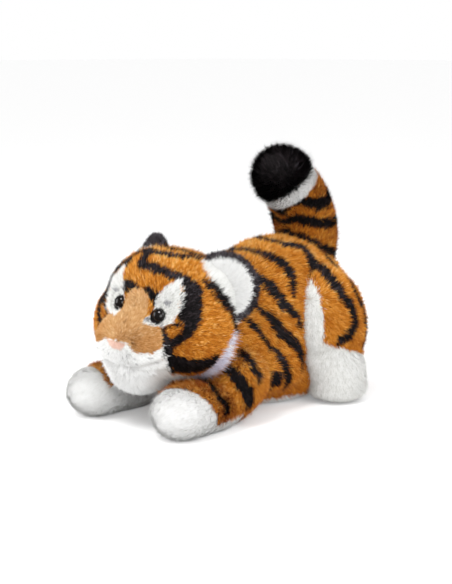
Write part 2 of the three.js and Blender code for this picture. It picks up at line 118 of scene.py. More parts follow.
# Colours, in the screen's own values
ORANGE_ROOT = (0.50, 0.26, 0.05)
ORANGE_DEEP = (0.63, 0.345, 0.08)
ORANGE_WARM = (0.72, 0.42, 0.11)
ORANGE_MID = (0.79, 0.50, 0.16)
ORANGE_LIGHT = (0.87, 0.61, 0.26)
ORANGE_GOLD = (0.94, 0.75, 0.44)
BLACK_DEEP = (0.06, 0.05, 0.055)
BLACK_MID = (0.12, 0.10, 0.105)
# The lightest blacks paint light from above onto the tips of black fur
BLACK_LIGHT = (0.20, 0.17, 0.18)
BLACK_TOP_HIGHLIGHT = (0.30, 0.28, 0.30)
WHITE_SHADE = (0.91, 0.91, 0.90)
WHITE_MID = (0.93, 0.93, 0.925)
WHITE_LIGHT = (0.96, 0.96, 0.955)
# A greyer copy of the white fur: painted shade on the brow patch, the ear's lining on the head, the thigh's
# strip and the hind foot
SHADED_WHITE_DEEP = (0.82, 0.82, 0.80)
SHADED_WHITE_MID = (0.88, 0.88, 0.865)
SHADED_WHITE_LIGHT = (0.94, 0.94, 0.93)
# The white ruff behind the cheek, greyed lilac as painted shade
RUFF_SHADE = (0.76, 0.74, 0.80)
RUFF_SHADE_LIGHT = (0.88, 0.87, 0.91)
TAN_DEEP = (0.68, 0.47, 0.26)
TAN_WARM = (0.77, 0.56, 0.34)
TAN_MID = (0.82, 0.64, 0.43)
TAN_LIGHT = (0.90, 0.76, 0.57)
PINK_MID = (0.90, 0.75, 0.68)
PINK_LIGHT = (0.94, 0.82, 0.76)
GREY_PALE = (0.76, 0.76, 0.76)
GREY_MID = (0.62, 0.62, 0.63)
GREY_DARK = (0.40, 0.39, 0.40)

ORANGE, BLACK, WHITE, TAN, PAD, PINK, SHADED_RUFF, GREY, SMOKE, FLECK, SHADED_WHITE, TOP_LIT_BLACK = range(12)
# For each kind of fur: its root colours, darker to paint the shade deep in the pile, the last of which the
# skin has too, and its tip colours, from the darkest tufts to the lightest; strands facing up take the
# lighter tips, as painted light from above
FUR_SHADES = {
    ORANGE: ([ORANGE_ROOT, ORANGE_DEEP], [ORANGE_DEEP, ORANGE_WARM, ORANGE_MID, ORANGE_LIGHT, ORANGE_GOLD]),
    BLACK: ([BLACK_DEEP], [BLACK_DEEP, BLACK_DEEP, BLACK_MID, BLACK_LIGHT, BLACK_TOP_HIGHLIGHT]),
    WHITE: ([WHITE_SHADE], [WHITE_MID, WHITE_LIGHT, WHITE_LIGHT]),
    TAN: ([TAN_WARM], [TAN_WARM, TAN_MID, TAN_MID, TAN_LIGHT]),
    PAD: ([TAN_DEEP], [TAN_DEEP, TAN_WARM, TAN_WARM, TAN_MID, TAN_LIGHT]),
    PINK: ([PINK_MID], [PINK_MID, PINK_LIGHT]),
    SHADED_RUFF: ([RUFF_SHADE], [RUFF_SHADE, RUFF_SHADE_LIGHT, WHITE_MID]),
    GREY: ([GREY_MID], [GREY_MID, GREY_MID]),
    SMOKE: ([GREY_DARK], [GREY_DARK, GREY_MID]),
    FLECK: ([GREY_PALE], [GREY_PALE, GREY_PALE]),
    SHADED_WHITE: ([SHADED_WHITE_DEEP], [SHADED_WHITE_MID, SHADED_WHITE_LIGHT, SHADED_WHITE_LIGHT]),
    # The black fur of the ears' backs, greyed as painted light from above
    TOP_LIT_BLACK: ([BLACK_MID], [BLACK_MID, BLACK_LIGHT, BLACK_TOP_HIGHLIGHT, BLACK_TOP_HIGHLIGHT, GREY_DARK]),
}
PALE_KINDS = (WHITE, SHADED_WHITE, PINK, GREY, FLECK)

# Materials
FABRIC_SPECULAR = 0.12
SHEEN_ROUGHNESS = 0.5
WEAVE = {"roughness": 0.9, "sheen": 0.2, "scale": 700, "detail": 4, "darkest": 0.72, "lightest": 1.12,
         "bump": 0.4, "bump_depth": 0.0006}
# Strands darker than this sum have the first roughness and sheen, the others have the second
DARK_SUM = 0.9
DARK_GLOSS = (0.6, 0.0)
PALE_GLOSS = (0.85, 0.04)
# Polished eyes and moulded washers: each has a fine grain between two of the shader's own colours
EYE_LOOK = {"roughness": 0.06, "specular": 0.5, "grain": 900,
            "colours": [(0.004, 0.003, 0.003), (0.010, 0.008, 0.007)]}
WASHER_LOOK = {"roughness": 0.5, "specular": FABRIC_SPECULAR, "grain": 1500,
               "colours": [(0.6038, 0.6038, 0.5711), (0.7874, 0.7874, 0.7479)]}

# Forms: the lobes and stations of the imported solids, slimmer at the shoulder and the tail's tip
TORSO = {
    "heart": (0, 40, 56),
    "blend": 4,
    "lobes": [
        {"centre": (0, 74, 74), "half": (60, 82, 70), "power": 2},
        {"centre": (0, 0, 60), "half": (49, 47, 51), "power": 2},
        {"centre": (0, 62, 35.5), "half": (58.5, 68, 36), "power": 2.4},
    ],
}
HEAD_PLACE = (0, -58, 96)
HEAD_ROLL = 5
HEAD_YAW = 6
HEAD = {
    "heart": (0, -8, -20),
    "blend": 3.5,
    "lobes": [
        {"centre": (0, 6, 0), "half": (58, 44, 48.5), "power": 2.4},
        {"centre": (0, -4, -17), "half": (63.5, 38, 36), "power": 2.6},
        {"centre": (0, -28, -24), "half": (38, 34, 27), "power": 2.3},
        {"centre": (0, -26, -38), "half": (25, 29, 29), "power": 2.2},
    ],
}
FRONT_LEG = {
    "stations": [(31, 3, 42), (45, -19, 35), (51, -46, 20), (53, -78, 21.5), (53, -119, 21.5)],
    "halves": [(23, 25), (24.5, 26), (19.5, 20.5), (25, 22), (25, 22)],
    "caps": (26, 27),
}
HIND_LEG = {
    "stations": [(44, 87, 120), (47, 89, 96), (50, 93, 69), (53, 94, 44), (58, 95, 20), (58, 95, -0.5)],
    "halves": [(20, 27), (24, 33), (26.5, 38.5), (25, 33), (27, 29), (27, 29)],
    "caps": (34, 13),
}
TAIL = {
    "stations": [(0, 108, 104), (0, 116, 128), (0, 117, 148), (0, 111, 166), (0, 100, 183), (0, 66, 213.5)],
    "halves": [(26, 26), (27, 27), (27.5, 27.5), (27, 27), (25.5, 25.5), (20.5, 20.5)],
    "caps": (4, 21),
}
EAR = {
    "seam_top": (29, 15, 45), "seam_low": (57, 24, 2), "lean": (0.68, 0.52, 0.52),
    "reach": 26, "thickness": 5, "dish": 4, "rim": 1, "fold_span": (-4, 10),
    "far_shift": (3.0, 3.0, 0.0), "far_size_share": 1.08, "edge_share": 0.03, "front_share": 0.1,
    "buried": 2, "comb_reach": 12,
}
# The white lining by the ear's side: its middle along and out and its radius, as shares of the ear
LINING_SHARES = {1: (0, 0, 0.86), -1: (-0.6, 0.0, 0.62)}
EYE = {"radius": 5.8, "height": 4.4, "sink": 0.6, "lid": 0.9, "overlap": 0.4, "steps": 48, "rings": 16,
       "rim": [(3.48, -2.0), (5.8, -1.2), (5.95, -0.2)]}
EYE_PLACES = {1: (22.4, 3.8), -1: (-20.8, 6.3)}
NECK_BALL = (0, -12, 80)
NECK_RADIUS = 23.5

# Small shapes pressed into or raised from the head: place, width and height in its own frame
HEAD_BUMPS = [
    (23, -38, 6, 9, 0.8),
    (33, -32, 20, 10, 2.0),
    (34, -42, -6, 8, 1.6),
    (0, -38, 16, 11, 3.0),
    (0, -44, 2, 11, 5.6),
    (0, -56, -11, 10, 3.0),
    (20, -55, -19, 11, 3.6),
    (18, -57, -31, 10, 3.4),
    (0, -62, -21, 6, 2.2),
    (8, -47, -52, 15, 3.0),
    (54, -14, -22, 16, 2.0),
]
HEAD_CREASES = [
    ([(0, -65, -26), (0, -64, -33), (0, -62, -39)], 1.9, 3.4),
    ([(0, -62, -40), (10, -59, -41), (20, -56, -40), (29, -50, -37), (37, -41, -33)], 3.4, 6.0),
    ([(13, -61, -17), (17, -60, -20), (23, -58, -23.5), (31, -51, -23), (37, -43, -21)], 2.2, 2.2),
    ([(10, -38, 20), (15, -40, 10), (16, -44, 2), (25, -43, -3.5), (33, -42, -6)], 2.6, 1.2),
    ([(38, -42, -9), (40, -41, -20), (40, -39, -31), (38, -34, -41)], 4.0, 2.4),
]
TORSO_BUMPS = [(52, 12, 30, 17, 7.5)]
TORSO_CREASES = [
    ([(44, -9, 78), (52, 2, 60), (56, 6, 40), (54, 8, 16)], 3.0, 2.0),
    ([(50, 28, 5), (54, 44, 10), (58, 60, 18), (59, 66, 32)], 14.0, 9.0),
    ([(42, 66, 113), (49, 60, 101), (55, 57, 89), (58, 56, 75), (60, 58, 58), (60, 61, 44)], 11.0, 6.5),
]
FRONT_LEG_CREASES = [
    ([(54, -2, 66), (63, -5, 53), (68, -8, 42), (71, -14, 31), (70, -18, 20)], 4.5, 3.2),
    ([(44, -93, 43), (59, -94, 43), (68, -88, 40), (76, -85, 33), (78, -77, 22)], 3.5, 1.2),
]
HIND_LEG_CREASES = [
    ([(59, 61, 45), (73, 74, 53), (77, 90, 53), (76, 109, 47), (66, 122, 44)], 5.0, 2.6),
]

# Markings: each stripe is a line of places with its width there, drawn on the left and mirrored
TORSO_STRIPES = [
    [(0, 60, 144, 4), (13, 63, 142, 5), (20, 66, 140, 6), (24, 76, 139, 7), (29, 83, 136, 8),
     (36, 83, 130, 9), (42, 80, 125, 10), (47, 77, 119, 10), (48, 75, 116, 5)],
    [(42, 80, 125, 9), (46, 89, 118, 8), (49, 97, 111, 7), (52, 104, 102, 6), (51, 114, 91, 5)],
    [(0, 38, 137, 3), (6, 37, 136, 3), (13, 36, 135, 4), (21, 41, 134, 7), (30, 44, 130, 8),
     (37, 48, 126, 8), (43, 50, 120, 8), (47, 49, 115, 7), (50, 48, 108, 6), (53, 47, 102, 3)],
    [(8, 14, 121, 5), (18, 16, 121, 6), (26, 20, 118, 7), (33, 23, 115, 8), (39, 28, 110, 8),
     (45, 30, 103, 8), (50, 33, 94, 8), (53, 38, 90, 6), (56, 44, 83, 5), (58, 50, 76, 4.5), (59, 53, 71, 3)],
    [(30, 4, 100, 5), (38, 10, 94, 6), (43, 16, 87, 7), (48, 23, 80, 8), (51, 28, 71, 8), (54, 37, 63, 8.5),
     (57, 45, 56, 9), (59, 52, 48, 9), (60, 55, 41, 7), (60, 52, 36, 4)],
    [(43, -5, 85, 3), (47, 4, 74, 4), (48, 12, 64, 5), (49, 23, 54, 5), (53, 26, 47, 7), (56, 29, 39, 8),
     (57, 32, 33, 8), (55, 34, 23, 7), (51, 35, 16, 5)],
    [(54, 14, 30, 10), (56, 17, 30, 13), (57, 20, 29, 11)],
    [(52, 13, 18, 4), (54, 5, 19, 5)],
    [(12, 104, 134, 4), (26, 108, 130, 6), (38, 112, 118, 7), (44, 120, 104, 6), (44, 130, 90, 4)],
    [(0, 152, 96, 5), (18, 148, 92, 6), (34, 138, 80, 6), (42, 130, 66, 4)],
    [(0, 155, 72, 6), (18, 152, 66, 6), (34, 142, 54, 5), (42, 134, 42, 3)],
    [(0, 151, 46, 4), (20, 146, 38, 5), (34, 136, 30, 4)],
    [(56, 66, 40, 4), (59, 74, 34, 5), (59, 84, 30, 5)],
]
HIND_LEG_STRIPES = [
    [(40, 84, 126, 8), (50, 82, 119, 8), (58, 81, 114, 8), (65, 82, 106, 8), (70, 87, 97, 8),
     (73, 94, 87, 7.5), (75, 98, 78, 7.5), (75, 96, 70, 7.5), (75, 88, 63, 7), (72, 78, 57, 5)],
    [(60, 106, 113, 3), (66, 106, 104, 5), (71, 110, 92, 5), (71, 118, 76, 6), (70, 120, 60, 6),
     (70, 114, 48, 5)],
    [(56, 122, 92, 5), (52, 127, 80, 6), (52, 129, 66, 5)],
]
FRONT_LEG_STRIPES = [
    [(38, -20, 64, 3), (45, -19, 61, 4), (62, -22, 53, 6), (68, -19, 43, 7), (70, -20, 38, 4)],
    [(40, -36, 49, 4), (50, -37, 49, 7), (63, -38, 41, 9), (70, -34, 32, 10), (71, -31, 22, 9),
     (70, -33, 18, 5)],
    [(44, -60, 42, 3), (50, -62, 43, 4), (65, -69, 40, 4.5), (74, -69, 32, 5), (74, -61, 24, 6),
     (76, -64, 19, 5)],
    [(28, -60, 30, 4), (30, -58, 22, 5)],
]
TAIL_STRIPES = [
    [(14, 78, 174, 3), (22, 86, 178, 5), (25, 96, 174, 8), (27, 105, 174, 9), (24, 120, 178, 7),
     (12, 131, 183, 7), (0, 135, 186, 7)],
    [(22, 116, 176, 6), (17, 126, 186, 6), (0, 130, 196, 5)],
    [(3, 85, 157, 3), (13, 87, 162, 6), (20, 93, 160, 8), (25, 102, 157, 8), (28, 116, 156, 7),
     (21, 136, 157, 7), (0, 145, 158, 7)],
    [(0, 89, 148, 4), (5, 90, 146, 5), (14, 93, 144, 6), (22, 101, 138, 8), (26, 109, 134, 8),
     (26, 126, 127, 9), (20, 137, 122, 8), (0, 144, 118, 8)],
    [(0, 80, 166, 5), (6, 79, 168, 4), (12, 80, 170, 2)],
]
HEAD_STRIPES = [
    [(33, -20, 37, 6), (38, -20, 34, 9), (42, -19, 29, 13), (45, -22, 19, 18), (47, -25, 11, 18),
     (49, -27, 4, 17), (51, -30, -1, 9), (50, -32, -6, 6), (47, -35, -11, 6), (42, -38, -15, 7),
     (38, -41, -17, 8)],
    [(3, -37, 22.5, 3), (9, -36, 22.5, 5), (14, -36.5, 21, 6), (18, -36, 19, 5), (19, -37.5, 13, 3)],
    [(31, -42, -4, 1.2), (37, -38, -0.5, 1.4), (43, -35, 0.5, 2)],
    [(33, -42, -7, 4), (36, -41, -13, 8), (38, -40, -20, 10), (38, -39, -31, 11), (36, -34, -41, 10)],
    [(41, -38, -32, 12), (47, -33, -37, 14), (55, -23, -35, 13), (60, -14, -31, 11), (63, -9, -27, 6)],
    [(46, -6, 34, 4), (49, -3, 32, 6), (54, 0, 25, 8), (58, 6, 17, 8), (60, 12, 9, 8), (61, 17, -1, 7),
     (62, 22, -11, 5)],
    [(0, 10, 51, 6), (14, 12, 50, 6), (24, 16, 46, 4)],
    [(0, 30, 44, 6), (14, 31, 43, 6), (28, 30, 36, 5)],
    [(0, 46, 22, 6), (18, 45, 20, 7), (34, 42, 12, 7), (48, 36, 2, 5)],
    [(0, 50, -2, 5), (18, 48, -6, 6), (34, 42, -14, 6), (46, 34, -22, 4)],
]
# The forehead's lines join on one side of the head only, so these aren't mirrored
BROW_STRIPES = [
    [(-11, -24, 40.5, 6), (0, -24, 41, 7), (11, -25, 40, 6), (21, -24, 38, 6), (27, -23, 37, 7),
     (33, -21, 36, 7)],
    [(-24, -1, 47, 5), (-15, -5, 48, 5), (-7, -6, 49, 5), (7, -6, 48.5, 5), (18, -1, 48, 5), (25, 9, 47, 4)],
    [(-24, -1, 47, 6), (-18, -9, 47, 7), (-13, -16, 45, 7), (-11, -24, 40, 6)],
    [(-28, -22, 38, 4), (-32, -14, 41, 5), (-31, -6, 44, 5), (-24, -1, 47, 5)],
    [(-12, -36, 23, 6), (-19, -34, 25, 5)],
]
# White fur, greyed as painted shade, runs from the ear's lining onto the head
LINING_STRIPES = [
    [(40, 7, 42, 14), (50, 7, 33, 16), (56, 13, 21, 16), (59, 20, 10, 14), (60, 26, 2, 10)],
    [(33, 12, 46, 8), (41, 15, 38, 12), (50, 19, 24, 12), (57, 24, 9, 9)],
]
RUFF_LINE = [(62, 16, -12, 3), (64, 9, -19, 7), (62, 3, -27, 11), (59, -1, -35, 11), (53, -5, -42, 9),
             (45, -10, -48, 6)]

# Face zones: outlines across and up the head's front view, drawn on the left and mirrored, but for the
# marks at the corners of the near eye's lid
FACE_BACK = -8
TAN_ZONE = [(0, 22), (6, 21.5), (9, 18.5), (12, 13), (13, 7), (12, 2), (13.5, -3), (22, -5), (29, -6),
            (31.5, -10), (33, -15), (32.5, -19.5), (29, -23), (21, -23.5), (15, -20.5), (11, -17.5),
            (0, -18.5)]
CHEEK_PAD = {"x": 25, "z": -14.5, "radius": 12, "edge_share": 6}
NOSE_ZONE = [(0, -18.5), (9, -18), (11, -19), (6, -24.5), (0, -25.5)]
BROW_ZONE = [(29, 33.5), (31, 32.5), (35, 27), (38, 21), (39, 14), (39, 7), (36, 0), (30, -3.5), (24, -5),
             (14, -4), (12, -1), (15.5, 3), (17.5, 6), (17.5, 12), (18.5, 18), (22, 25)]
MUZZLE_ZONE = [(0, -16), (13, -16), (22, -23), (29, -23), (33.5, -18), (34.5, -30), (33, -43), (31, -60),
               (0, -80)]
WHISKER_SPOTS = [(13, -28), (21, -29), (29, -28), (21, -33), (29, -33), (8, -31)]
WHISKER_RADIUS = 0.9
LID_MARKS = [(15.6, -0.2, 1.8), (28.5, -3.0, 1.2)]
SMUDGE = {"x": 29, "z": 16, "stretch_share": 1.6, "radius": 2.6, "edge_share": 1.8}
LIP_LOW = -39
THROAT = {"top": -43, "half": 50}
FINE_EDGE_SHARE = 0.6
NOSE_EDGE_SHARE = 0.4

# Seams on the body: a place and the direction in which the next colour lies
PAW_SEAM = ((50, -93, 35), (0.3, -0.8, -0.4))
STRIP_SEAM = ((49, 72, 0), (-0.25, -0.97, 0))
STRIP_TOP = 114
FOOT_SEAM = ((0, 98, 47), (0, -0.35, -0.94))
BAND_SEAM = ((0, 78, 169), (-0.15, -0.64, 0.76))
BAND_WIDTH = 13
BELLY_TOP = 9
UNDERARM = {"height": 13, "rise_share": 0.9, "x": 50, "back": -32}

# Fur: its length, how steeply it stands at the root and at the tip, and its strands on a square millimetre
STRAND_ROOT_WIDTH = 0.46
STRAND_MIDDLE_WIDTH = 0.38
STRAND_LOWEST = 0.15
ROOT_SINK = 0.3
BEND_SHARE = 0.45
BEND_PULL_SHARE = 0.4
LENGTH_SHARES = (0.75, 1.15)
LIFT_SPREAD = 9
COMB_SPREAD = 0.16
ROLL_SPREAD = 0.5
TUFT_COUNT = 4096
TUFT_PRIMES = (73856093, 19349663, 83492791)
NOISE_CELLS = 24
COATS = {
    "body": (7.4, 58, 24),
    "face": (5.4, 55, 24),
    "muzzle": (4.0, 52, 26),
    "lip": (3.0, 45, 20),
    "beard": (6.4, 48, 30),
    "paw": (5.6, 38, 12),
    "tail": (7.2, 60, 30),
    "brush": (10.0, 76, 62),
    "ruff": (11.0, 55, 25),
    "ear": (6.4, 55, 28),
    "nose": (1.6, 40, 20),
    "lash": (2.4, 50, 24),
}
DENSITY = {"body": 3.2, "paw": 4.2, "tail": 3.2, "ear": 4.2, "head": 4.6}
LASH_REACH = 4
CLUMP_SIZE = 1.7
CLUMP_PULL_SHARE = 0.32
CLUMP_LEAN = 0.24
SMOOTH_SHARE = 0.2
STRAY_SHARE = 0.09
STRAY_LIFT = 32
STRAY_LENGTH_SHARE = 1.22
STRIPE_STEP = 3
STRIPE_DRIFT = 3.5
STRIPE_DRIFT_SIZE = 22
DRIFT_SEED = 31
SWIRL_SIZE = 16
SWIRL_SHARE = 0.4
SWIRL_SEED = 9
EDGE_NOISE_SIZE = 3.0
EDGE_NOISE = 0.9
EDGE_SPREAD = 0.7
EDGE_SEED = 77
BURIED_DEPTH = 7
BURIED_REACH = 13
STRIPE_EDGE = 0.8
MARKING_REACH_SHARE = 0.52
RUFF_REACH = -1
HEAD_FUR_SHARE = 0.72

# A strand's shade and the way it faces, as shares of what they depend on; tuft, strand and patch are random
# tone, and upward is painted light from above that lightens the tips of strands facing up
TONE_AND_TOP_LIGHT_SHARES = {"tuft": 0.5, "strand": 0.4, "patch": 0.1, "upward": 0.2}
TOP_LIGHT_LEVEL = 0.3
TONE_SEED = 15
TONE_MOST = 0.999
PALE_ROOT_TONE = 0.45
ROOT_SHARES = {"skin": 0.7, "face": 0.3}
TIP_SHARES = {"skin": 0.62, "strand": 0.2, "face": 0.18}

# Which way the fur is combed
COMB = {
    "flank_top": 95, "flank_height": 60, "back_share": 0.3, "flank_share": 0.6,
    "sleeve_start": -8, "sleeve_length": 34, "sleeve_fall": (0, 0, -0.3), "shoulder": (0, 0.45, -1),
    "groin": (50, 70, 92), "foot_top": 50, "ankle": (54, 90, 62), "nose": (0, -64, -17), "ruff_fall": -22,
}

rng = np.random.default_rng(SEED)


def unit(vectors):
    """Vectors of length one."""
    vectors = np.asarray(vectors, float)
    return vectors / np.maximum(np.linalg.norm(vectors, axis=-1, keepdims=True), TINY)


def joint_facts(name):
    """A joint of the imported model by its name."""
    return next(joint for joint in frame["joints"] if joint["name"] == name)


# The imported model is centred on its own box, so its neck joint says how far it was moved
ROW_SHIFT = np.array(joint_facts("head_turn")["pos_m"]) - np.array(NECK_BALL) * MM


def to_row(points):
    """Millimetres in the tiger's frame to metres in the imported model's frame."""
    return np.asarray(points, float) * MM + ROW_SHIFT


def turn_about(axis, degrees):
    """A rotation matrix about one of the three axes."""
    angle = math.radians(degrees)
    first, second = [index for index in range(3) if index != axis]
    matrix = np.eye(3)
    matrix[first, first] = math.cos(angle)
    matrix[second, second] = math.cos(angle)
    sign = -1 if axis == 1 else 1
    matrix[first, second] = -math.sin(angle) * sign
    matrix[second, first] = math.sin(angle) * sign
    return matrix


HEAD_TURN = turn_about(2, HEAD_YAW) @ turn_about(1, HEAD_ROLL)


def head_to_tiger(points):
    """Places in the head's own frame to the tiger's frame."""
    return np.asarray(points, float) @ HEAD_TURN.T + np.array(HEAD_PLACE)


def tiger_to_head(points):
    """Places in the tiger's frame to the head's own frame."""
    return (np.asarray(points, float) - np.array(HEAD_PLACE)) @ HEAD_TURN


def smooth_noise(points, size, seed):
    """Soft noise from -1 to 1 for each point, with bumps of the given size."""
    grid = np.random.default_rng(seed).uniform(-1, 1, (NOISE_CELLS,) * 3)
    scaled = np.asarray(points) / size
    base = np.floor(scaled).astype(int)
    part = scaled - base
    part = part * part * (3 - 2 * part)
    total = np.zeros(len(scaled))
    for corner in itertools.product((0, 1), repeat=3):
        weight = np.prod(np.where(corner, part, 1 - part), axis=1)
        cell = (base + corner) % NOISE_CELLS
        total += weight * grid[cell[:, 0], cell[:, 1], cell[:, 2]]
    return total


def noise_vectors(points, size, seed):
    """Soft noise as a vector for each point."""
    return np.stack([smooth_noise(points, size, seed + axis) for axis in range(3)], axis=1)


def tufts(points, size):
    """For each point, the middle of the tuft it belongs to and that tuft's number."""
    table = np.random.default_rng(SEED).random((TUFT_COUNT, 3))
    scaled = points / size
    base = np.floor(scaled).astype(np.int64)
    best = np.full(len(points), FAR_AWAY)
    middles = np.zeros_like(points)
    numbers = np.zeros(len(points), int)
    for offset in itertools.product((-1, 0, 1), repeat=3):
        cell = base + offset
        number = np.bitwise_xor.reduce(cell * TUFT_PRIMES, axis=1) & (TUFT_COUNT - 1)
        centre = cell + table[number]
        distance = ((scaled - centre) ** 2).sum(axis=1)
        closer = distance < best
        best[closer] = distance[closer]
        middles[closer] = centre[closer]
        numbers[closer] = number[closer]
    return middles * size, numbers


# Lobed forms

def lobe_reach(directions, heart, lobe, inset):
    """How far each ray from the heart runs before it leaves one lobe."""
    half = np.array(lobe["half"], float) - inset
    offset = np.array(heart, float) - np.array(lobe["centre"], float)
    near = np.zeros(len(directions))
    far = near + LONGEST_REACH
    for _ in range(HALVINGS):
        middle = (near + far) / 2
        place = np.abs((offset + directions * middle[:, None]) / half)
        inside = (place ** lobe["power"]).sum(axis=1) < 1
        near = np.where(inside, middle, near)
        far = np.where(inside, far, middle)
    return near


def lobed_reach(form, directions, inset):
    """How far a lobed form reaches along each direction: the lobes run into each other over its blend."""
    total = np.zeros(len(directions))
    for lobe in form["lobes"]:
        total += np.exp(lobe_reach(directions, form["heart"], lobe, inset) / form["blend"])
    return form["blend"] * np.log(total)


def lobed_depth(form, points):
    """How deep each point lies inside a lobed form."""
    away = np.asarray(points, float) - np.array(form["heart"])
    distance = np.linalg.norm(away, axis=1)
    return lobed_reach(form, unit(away), 0) - distance


# Limbs: rings that stand across a curve through their stations

def curve_through(places, count):
    """A smooth curve through places, sampled count times."""
    places = np.array(places, float)
    before = np.vstack([2 * places[0] - places[1], places, 2 * places[-1] - places[-2]])
    share = np.linspace(0, len(places) - 1, count)
    start = np.minimum(share.astype(int), len(places) - 2)
    part = (share - start)[:, None]
    first, second, third, fourth = (before[start + step] for step in range(4))
    return 0.5 * (
        2 * second
        + (third - first) * part
        + (2 * first - 5 * second + 4 * third - fourth) * part ** 2
        + (3 * second - first - 3 * third + fourth) * part ** 3
    )


def cap_share(distance, cap):
    """How full a round end is: 0 at the very end and 1 past the cap."""
    left = 1 - np.clip(distance / cap, 0, 1)
    return np.sqrt(1 - left * left)


def limb_frame(limb, side, inset=0):
    """Centres, directions and half sizes along a limb."""
    stations = [(x * side, y, z) for x, y, z in limb["stations"]]
    centres = curve_through(stations, SPINE_COUNT)
    halves = curve_through(limb["halves"], SPINE_COUNT) - inset
    steps = np.linalg.norm(np.diff(centres, axis=0), axis=1)
    length = np.concatenate([[0], np.cumsum(steps)])
    ahead = unit(np.gradient(centres, axis=0))
    across = unit(np.array([1.0, 0, 0]) - ahead * ahead[:, :1])
    upward = np.cross(ahead, across)
    cap = cap_share(length - inset, limb["caps"][0] - inset)
    cap = cap * cap_share(length[-1] - inset - length, limb["caps"][1] - inset)
    return {"centres": centres, "halves": halves, "length": length, "ahead": ahead, "across": across,
            "upward": upward, "cap": cap}


def limb_depth(spine, points):
    """How deep each point lies inside a limb, and where along it the point is."""
    nearest = np.empty(len(points), int)
    for start in range(0, len(points), BATCH):
        part = slice(start, start + BATCH)
        away = points[part, None] - spine["centres"][None, ::SPINE_STEP]
        nearest[part] = (away ** 2).sum(axis=2).argmin(axis=1) * SPINE_STEP
    away = points - spine["centres"][nearest]
    across = (away * spine["across"][nearest]).sum(axis=1)
    upward = (away * spine["upward"][nearest]).sum(axis=1)
    half = np.maximum(spine["halves"][nearest] * spine["cap"][nearest, None], THINNEST_HALF)
    level = np.sqrt((across / half[:, 0]) ** 2 + (upward / half[:, 1]) ** 2)
    depth = (1 - level) * half.min(axis=1)
    beyond = np.abs((away * spine["ahead"][nearest]).sum(axis=1)) > PAST_END
    return np.where(beyond, OUTSIDE_DEPTH, depth), nearest


# Building meshes

def press_on_floor(points):
    """The underside settles towards the floor and never goes below it."""
    share = np.clip(1 - points[:, 2] / FLOOR_REACH, 0, 1)
    points[:, 2] = np.maximum(points[:, 2] - FLOOR_PRESS * share ** 2, SKIN_LOWEST)
    return points


def unit_ball(level):
    """Vertices and triangles of a fine even ball."""
    ball = bmesh.new()
    bmesh.ops.create_icosphere(ball, subdivisions=level, radius=1)
    ball.verts.ensure_lookup_table()
    vertices = np.array([vert.co for vert in ball.verts], float)
    faces = np.array([[vert.index for vert in face.verts] for face in ball.faces], int)
    ball.free()
    return unit(vertices), faces


def segment_distance(points, line):
    """The distance of each point to a line of places, and the share of the way along its nearest segment."""
    line = np.array(line, float)
    best = np.full(len(points), FAR_AWAY)
    where = np.zeros(len(points))
    for index in range(len(line) - 1):
        start = line[index, :3]
        span = line[index + 1, :3] - start
        share = np.clip(((points - start) @ span) / max(span @ span, TINY), 0, 1)
        distance = np.linalg.norm(points - start - share[:, None] * span, axis=1)
        closer = distance < best
        best = np.where(closer, distance, best)
        where = np.where(closer, index + share, where)
    return best, where


def fold(points):
    """Mirrors points onto the left side."""
    return np.abs(points * np.array([1, 0, 0])) + points * np.array([0, 1, 1])


def raise_bumps(points, normals, bumps):
    """Moves points along their normals over soft round bumps, on both sides."""
    folded = fold(points)
    moved = np.zeros(len(points))
    for x, y, z, width, height in bumps:
        distance = np.linalg.norm(folded - np.array([x, y, z]), axis=1)
        moved += height * np.exp(-(distance / width) ** 2)
    return points + normals * moved[:, None]


def press_creases(points, normals, creases):
    """Presses points in along lines, on both sides."""
    folded = fold(points)
    moved = np.zeros(len(points))
    for line, width, depth in creases:
        distance, _ = segment_distance(folded, line)
        moved -= depth * np.exp(-(distance / width) ** 2)
    return points + normals * moved[:, None]


def vertex_normals(points, faces):
    """Smooth normals of a triangle mesh."""
    corner = points[faces]
    face_normal = np.cross(corner[:, 1] - corner[:, 0], corner[:, 2] - corner[:, 0])
    normals = np.zeros_like(points)
    for index in range(3):
        np.add.at(normals, faces[:, index], face_normal)
    return unit(normals)


def lobed_surface(form, bumps, creases):
    """Points and triangles of a lobed form with its bumps and creases."""
    directions, faces = unit_ball(BALL_LEVEL)
    points = np.array(form["heart"]) + directions * lobed_reach(form, directions, SKIN_INSET)[:, None]
    normals = vertex_normals(points, faces)
    points = raise_bumps(points, normals, bumps)
    return press_creases(points, normals, creases), faces


def closed_tube(rings, first, last):
    """Points and triangles of rings of points one after another, closed by a point at each end."""
    count, sides = rings.shape[:2]
    points = np.vstack([[first], rings.reshape(-1, 3), [last]])
    end = len(points) - 1
    faces = []
    for step in range(sides):
        after = (step + 1) % sides
        faces.append((0, 1 + after, 1 + step))
        low = 1 + (count - 1) * sides
        faces.append((end, low + step, low + after))
        for ring in range(count - 1):
            base = 1 + ring * sides
            faces.append((base + step, base + after, base + sides + after))
            faces.append((base + step, base + sides + after, base + sides + step))
    return points, np.array(faces)


def round_rings(centres, across, upward, widths, heights, sides):
    """A ring of points round each centre, with its own directions and half sizes."""
    angle = np.linspace(0, 2 * math.pi, sides, endpoint=False)
    width = (widths[:, None] * np.cos(angle))[..., None]
    height = (heights[:, None] * np.sin(angle))[..., None]
    return centres[:, None] + across[:, None] * width + upward[:, None] * height


